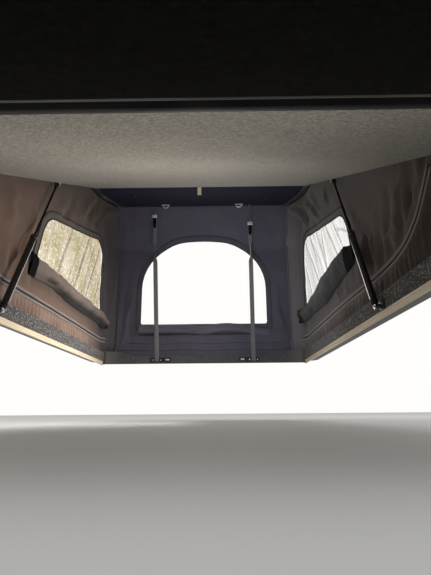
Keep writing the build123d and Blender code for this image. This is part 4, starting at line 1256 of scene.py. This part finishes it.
for sideName, sign in sides:
    _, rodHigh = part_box(f"strut_rod_{sideName}")
    footX, socket = sign * strutShape["x"], strutShape["socket"]
    foot = Vector((footX, *strutShape["foot"]))
    head = Vector((footX, rodHigh.y - socket, rodHigh.z - socket))
    axis = (head - foot).normalized()
    for label, place, slotName, part, material in (
        ("tube_collar", foot + axis * strutShape["tubeEnd"], "black_tube", "tube", None),
        ("foot_boot", foot, "black_plastic", "tube", None),
        ("ball_cup", head, "black_plastic", "rod", None),
        ("cup_clip", head, "chrome_fittings", "rod", brightMaterial),
    ):
        body = f"strut_{part}_{sideName}_body"
        turnedPiece(f"{label}_{sideName}", strutShape[label], place, axis, slotName, body, material)
    bm = bmesh.new()
    for inward, along, up, radius, height in strutShape["bolts"]:
        boltPlace = (sign * (strutShape["x"] - inward), foot.y + along, foot.z + up)
        screwHead(bm, boltPlace, (-sign, 0, 0), radius, height)
    rigidPiece(f"foot_bolts_{sideName}", bm, "chrome_fittings")
print("small fittings set")

# Floor, backdrop, lamps and world
stage = {"floor": -0.33, "reach": 30.0}
bm = bmesh.new()
bmesh.ops.create_grid(bm, x_segments=1, y_segments=1, size=stage["reach"])
bmesh.ops.translate(bm, vec=(0, 0, stage["floor"]), verts=bm.verts)
floorMesh = pieceMesh("floor", bm)
floor = bpy.data.objects.new("floor", floorMesh)
bpy.context.scene.collection.objects.link(floor)
floorMaterial, floorTree, floorShader, floorVector = startMaterial("paleFloor")
floorTone = mixColour(floorTree, noiseValue(floorTree, floorVector, 3.0), (0.8, 0.8, 0.79), (0.76, 0.76, 0.75))
fill(floorTree, floorShader, Base_Color=floorTone, Roughness=0.8)
floorMesh.materials.append(floorMaterial)

world = bpy.data.worlds.new("paleWorld")
bpy.context.scene.world = world
world.use_nodes = True
worldTree = world.node_tree
rays = worldTree.nodes.new("ShaderNodeLightPath").outputs
seen = rays["Is Camera Ray"]
for label in ("Is Glossy Ray", "Is Transmission Ray"):
    seen = mathNode(worldTree, "MAXIMUM", seen, rays[label])
skyStrength = spread(worldTree, seen, 0.0, 1.0, 0.55, 1.0)
fill(worldTree, worldTree.nodes["Background"], Color=(1.0, 0.99, 0.97), Strength=skyStrength)

lampTable = (
    # name, place, aims at, width, length, spread, watts, colour
    ("rightWindow", (0.5, 0.44, 0.4), (-0.57, 0.46, 0.0), 0.75, 0.06, 76, 3.6, (1.0, 0.96, 0.92)),
    ("leftWindow", (-0.5, 0.4, 0.32), (0.57, 0.4, 0.05), 0.6, 0.06, 100, 0.12, (1.0, 0.98, 0.96)),
    ("frontWindow", (0.0, 1.0, 0.46), (0.0, -1.0, 0.3), 0.66, 0.4, 150, 1.3, (1.0, 1.0, 1.0)),
    ("sideLow", (0.6, -0.15, -0.2), (-0.45, -0.1, 0.05), 1.5, 0.15, 84, 0.6, (1.0, 0.96, 0.92)),
    ("leftLow", (-0.12, 0.15, -0.27), (-0.58, 0.2, 0.06), 1.3, 0.1, 90, 0.6, (1.0, 0.97, 0.94)),
    ("ceilingBack", (-0.14, -0.98, -0.28), (-0.14, -1.0, 0.05), 0.85, 0.08, 84, 0.42, (1.0, 0.965, 0.92)),
    ("ceilingRear", (-0.1, -0.66, -0.28), (-0.1, -0.52, 0.4), 0.5, 0.3, 110, 1.2, (1.0, 0.965, 0.92)),
    ("ceilingMiddle", (0.0, -0.45, -0.28), (0.0, -0.15, 0.6), 0.3, 0.3, 90, 1.2, (1.0, 0.985, 0.96)),
    ("ceilingFront", (0.05, -0.1, -0.28), (0.05, 0.05, 0.6), 0.3, 0.3, 80, 0.12, (1.0, 0.985, 0.96)),
    ("frontFill", (0.05, -0.7, -0.27), (0.08, 1.0, 0.45), 0.4, 0.2, 60, 1.7, (0.94, 0.95, 1.0)),
    ("frontNear", (0.15, 0.1, -0.28), (0.15, 1.0, 0.5), 0.5, 0.2, 90, 1.2, (0.94, 0.95, 1.0)),
    ("overheadKey", (-2.2, -1.5, 4.0), (0.0, 0.0, 0.3), 3.0, 3.0, 180, 45.0, (1.0, 1.0, 1.0)),
    ("overheadFill", (2.6, 2.4, 3.2), (0.0, 0.2, 0.4), 3.0, 3.0, 180, 20.0, (1.0, 1.0, 1.0)),
)
# The films would show these two as bright bars
hiddenInGloss = ("rightWindow", "leftWindow")
for lampName, place, aim, width, length, spreadAngle, watts, colour in lampTable:
    lampData = bpy.data.lights.new(lampName, "AREA")
    lampData.shape = "RECTANGLE"
    lampData.size = width
    lampData.size_y = length
    lampData.spread = radians(spreadAngle)
    lampData.energy = watts
    lampData.color = colour
    lamp = bpy.data.objects.new(lampName, lampData)
    lamp.location = place
    lamp.rotation_euler = (Vector(aim) - Vector(place)).to_track_quat("-Z", "Y").to_euler()
    lamp.visible_camera = False
    lamp.visible_glossy = lampName not in hiddenInGloss
    bpy.context.scene.collection.objects.link(lamp)
bpy.context.scene.view_settings.view_transform = "Standard"
print("stage and lamps set")
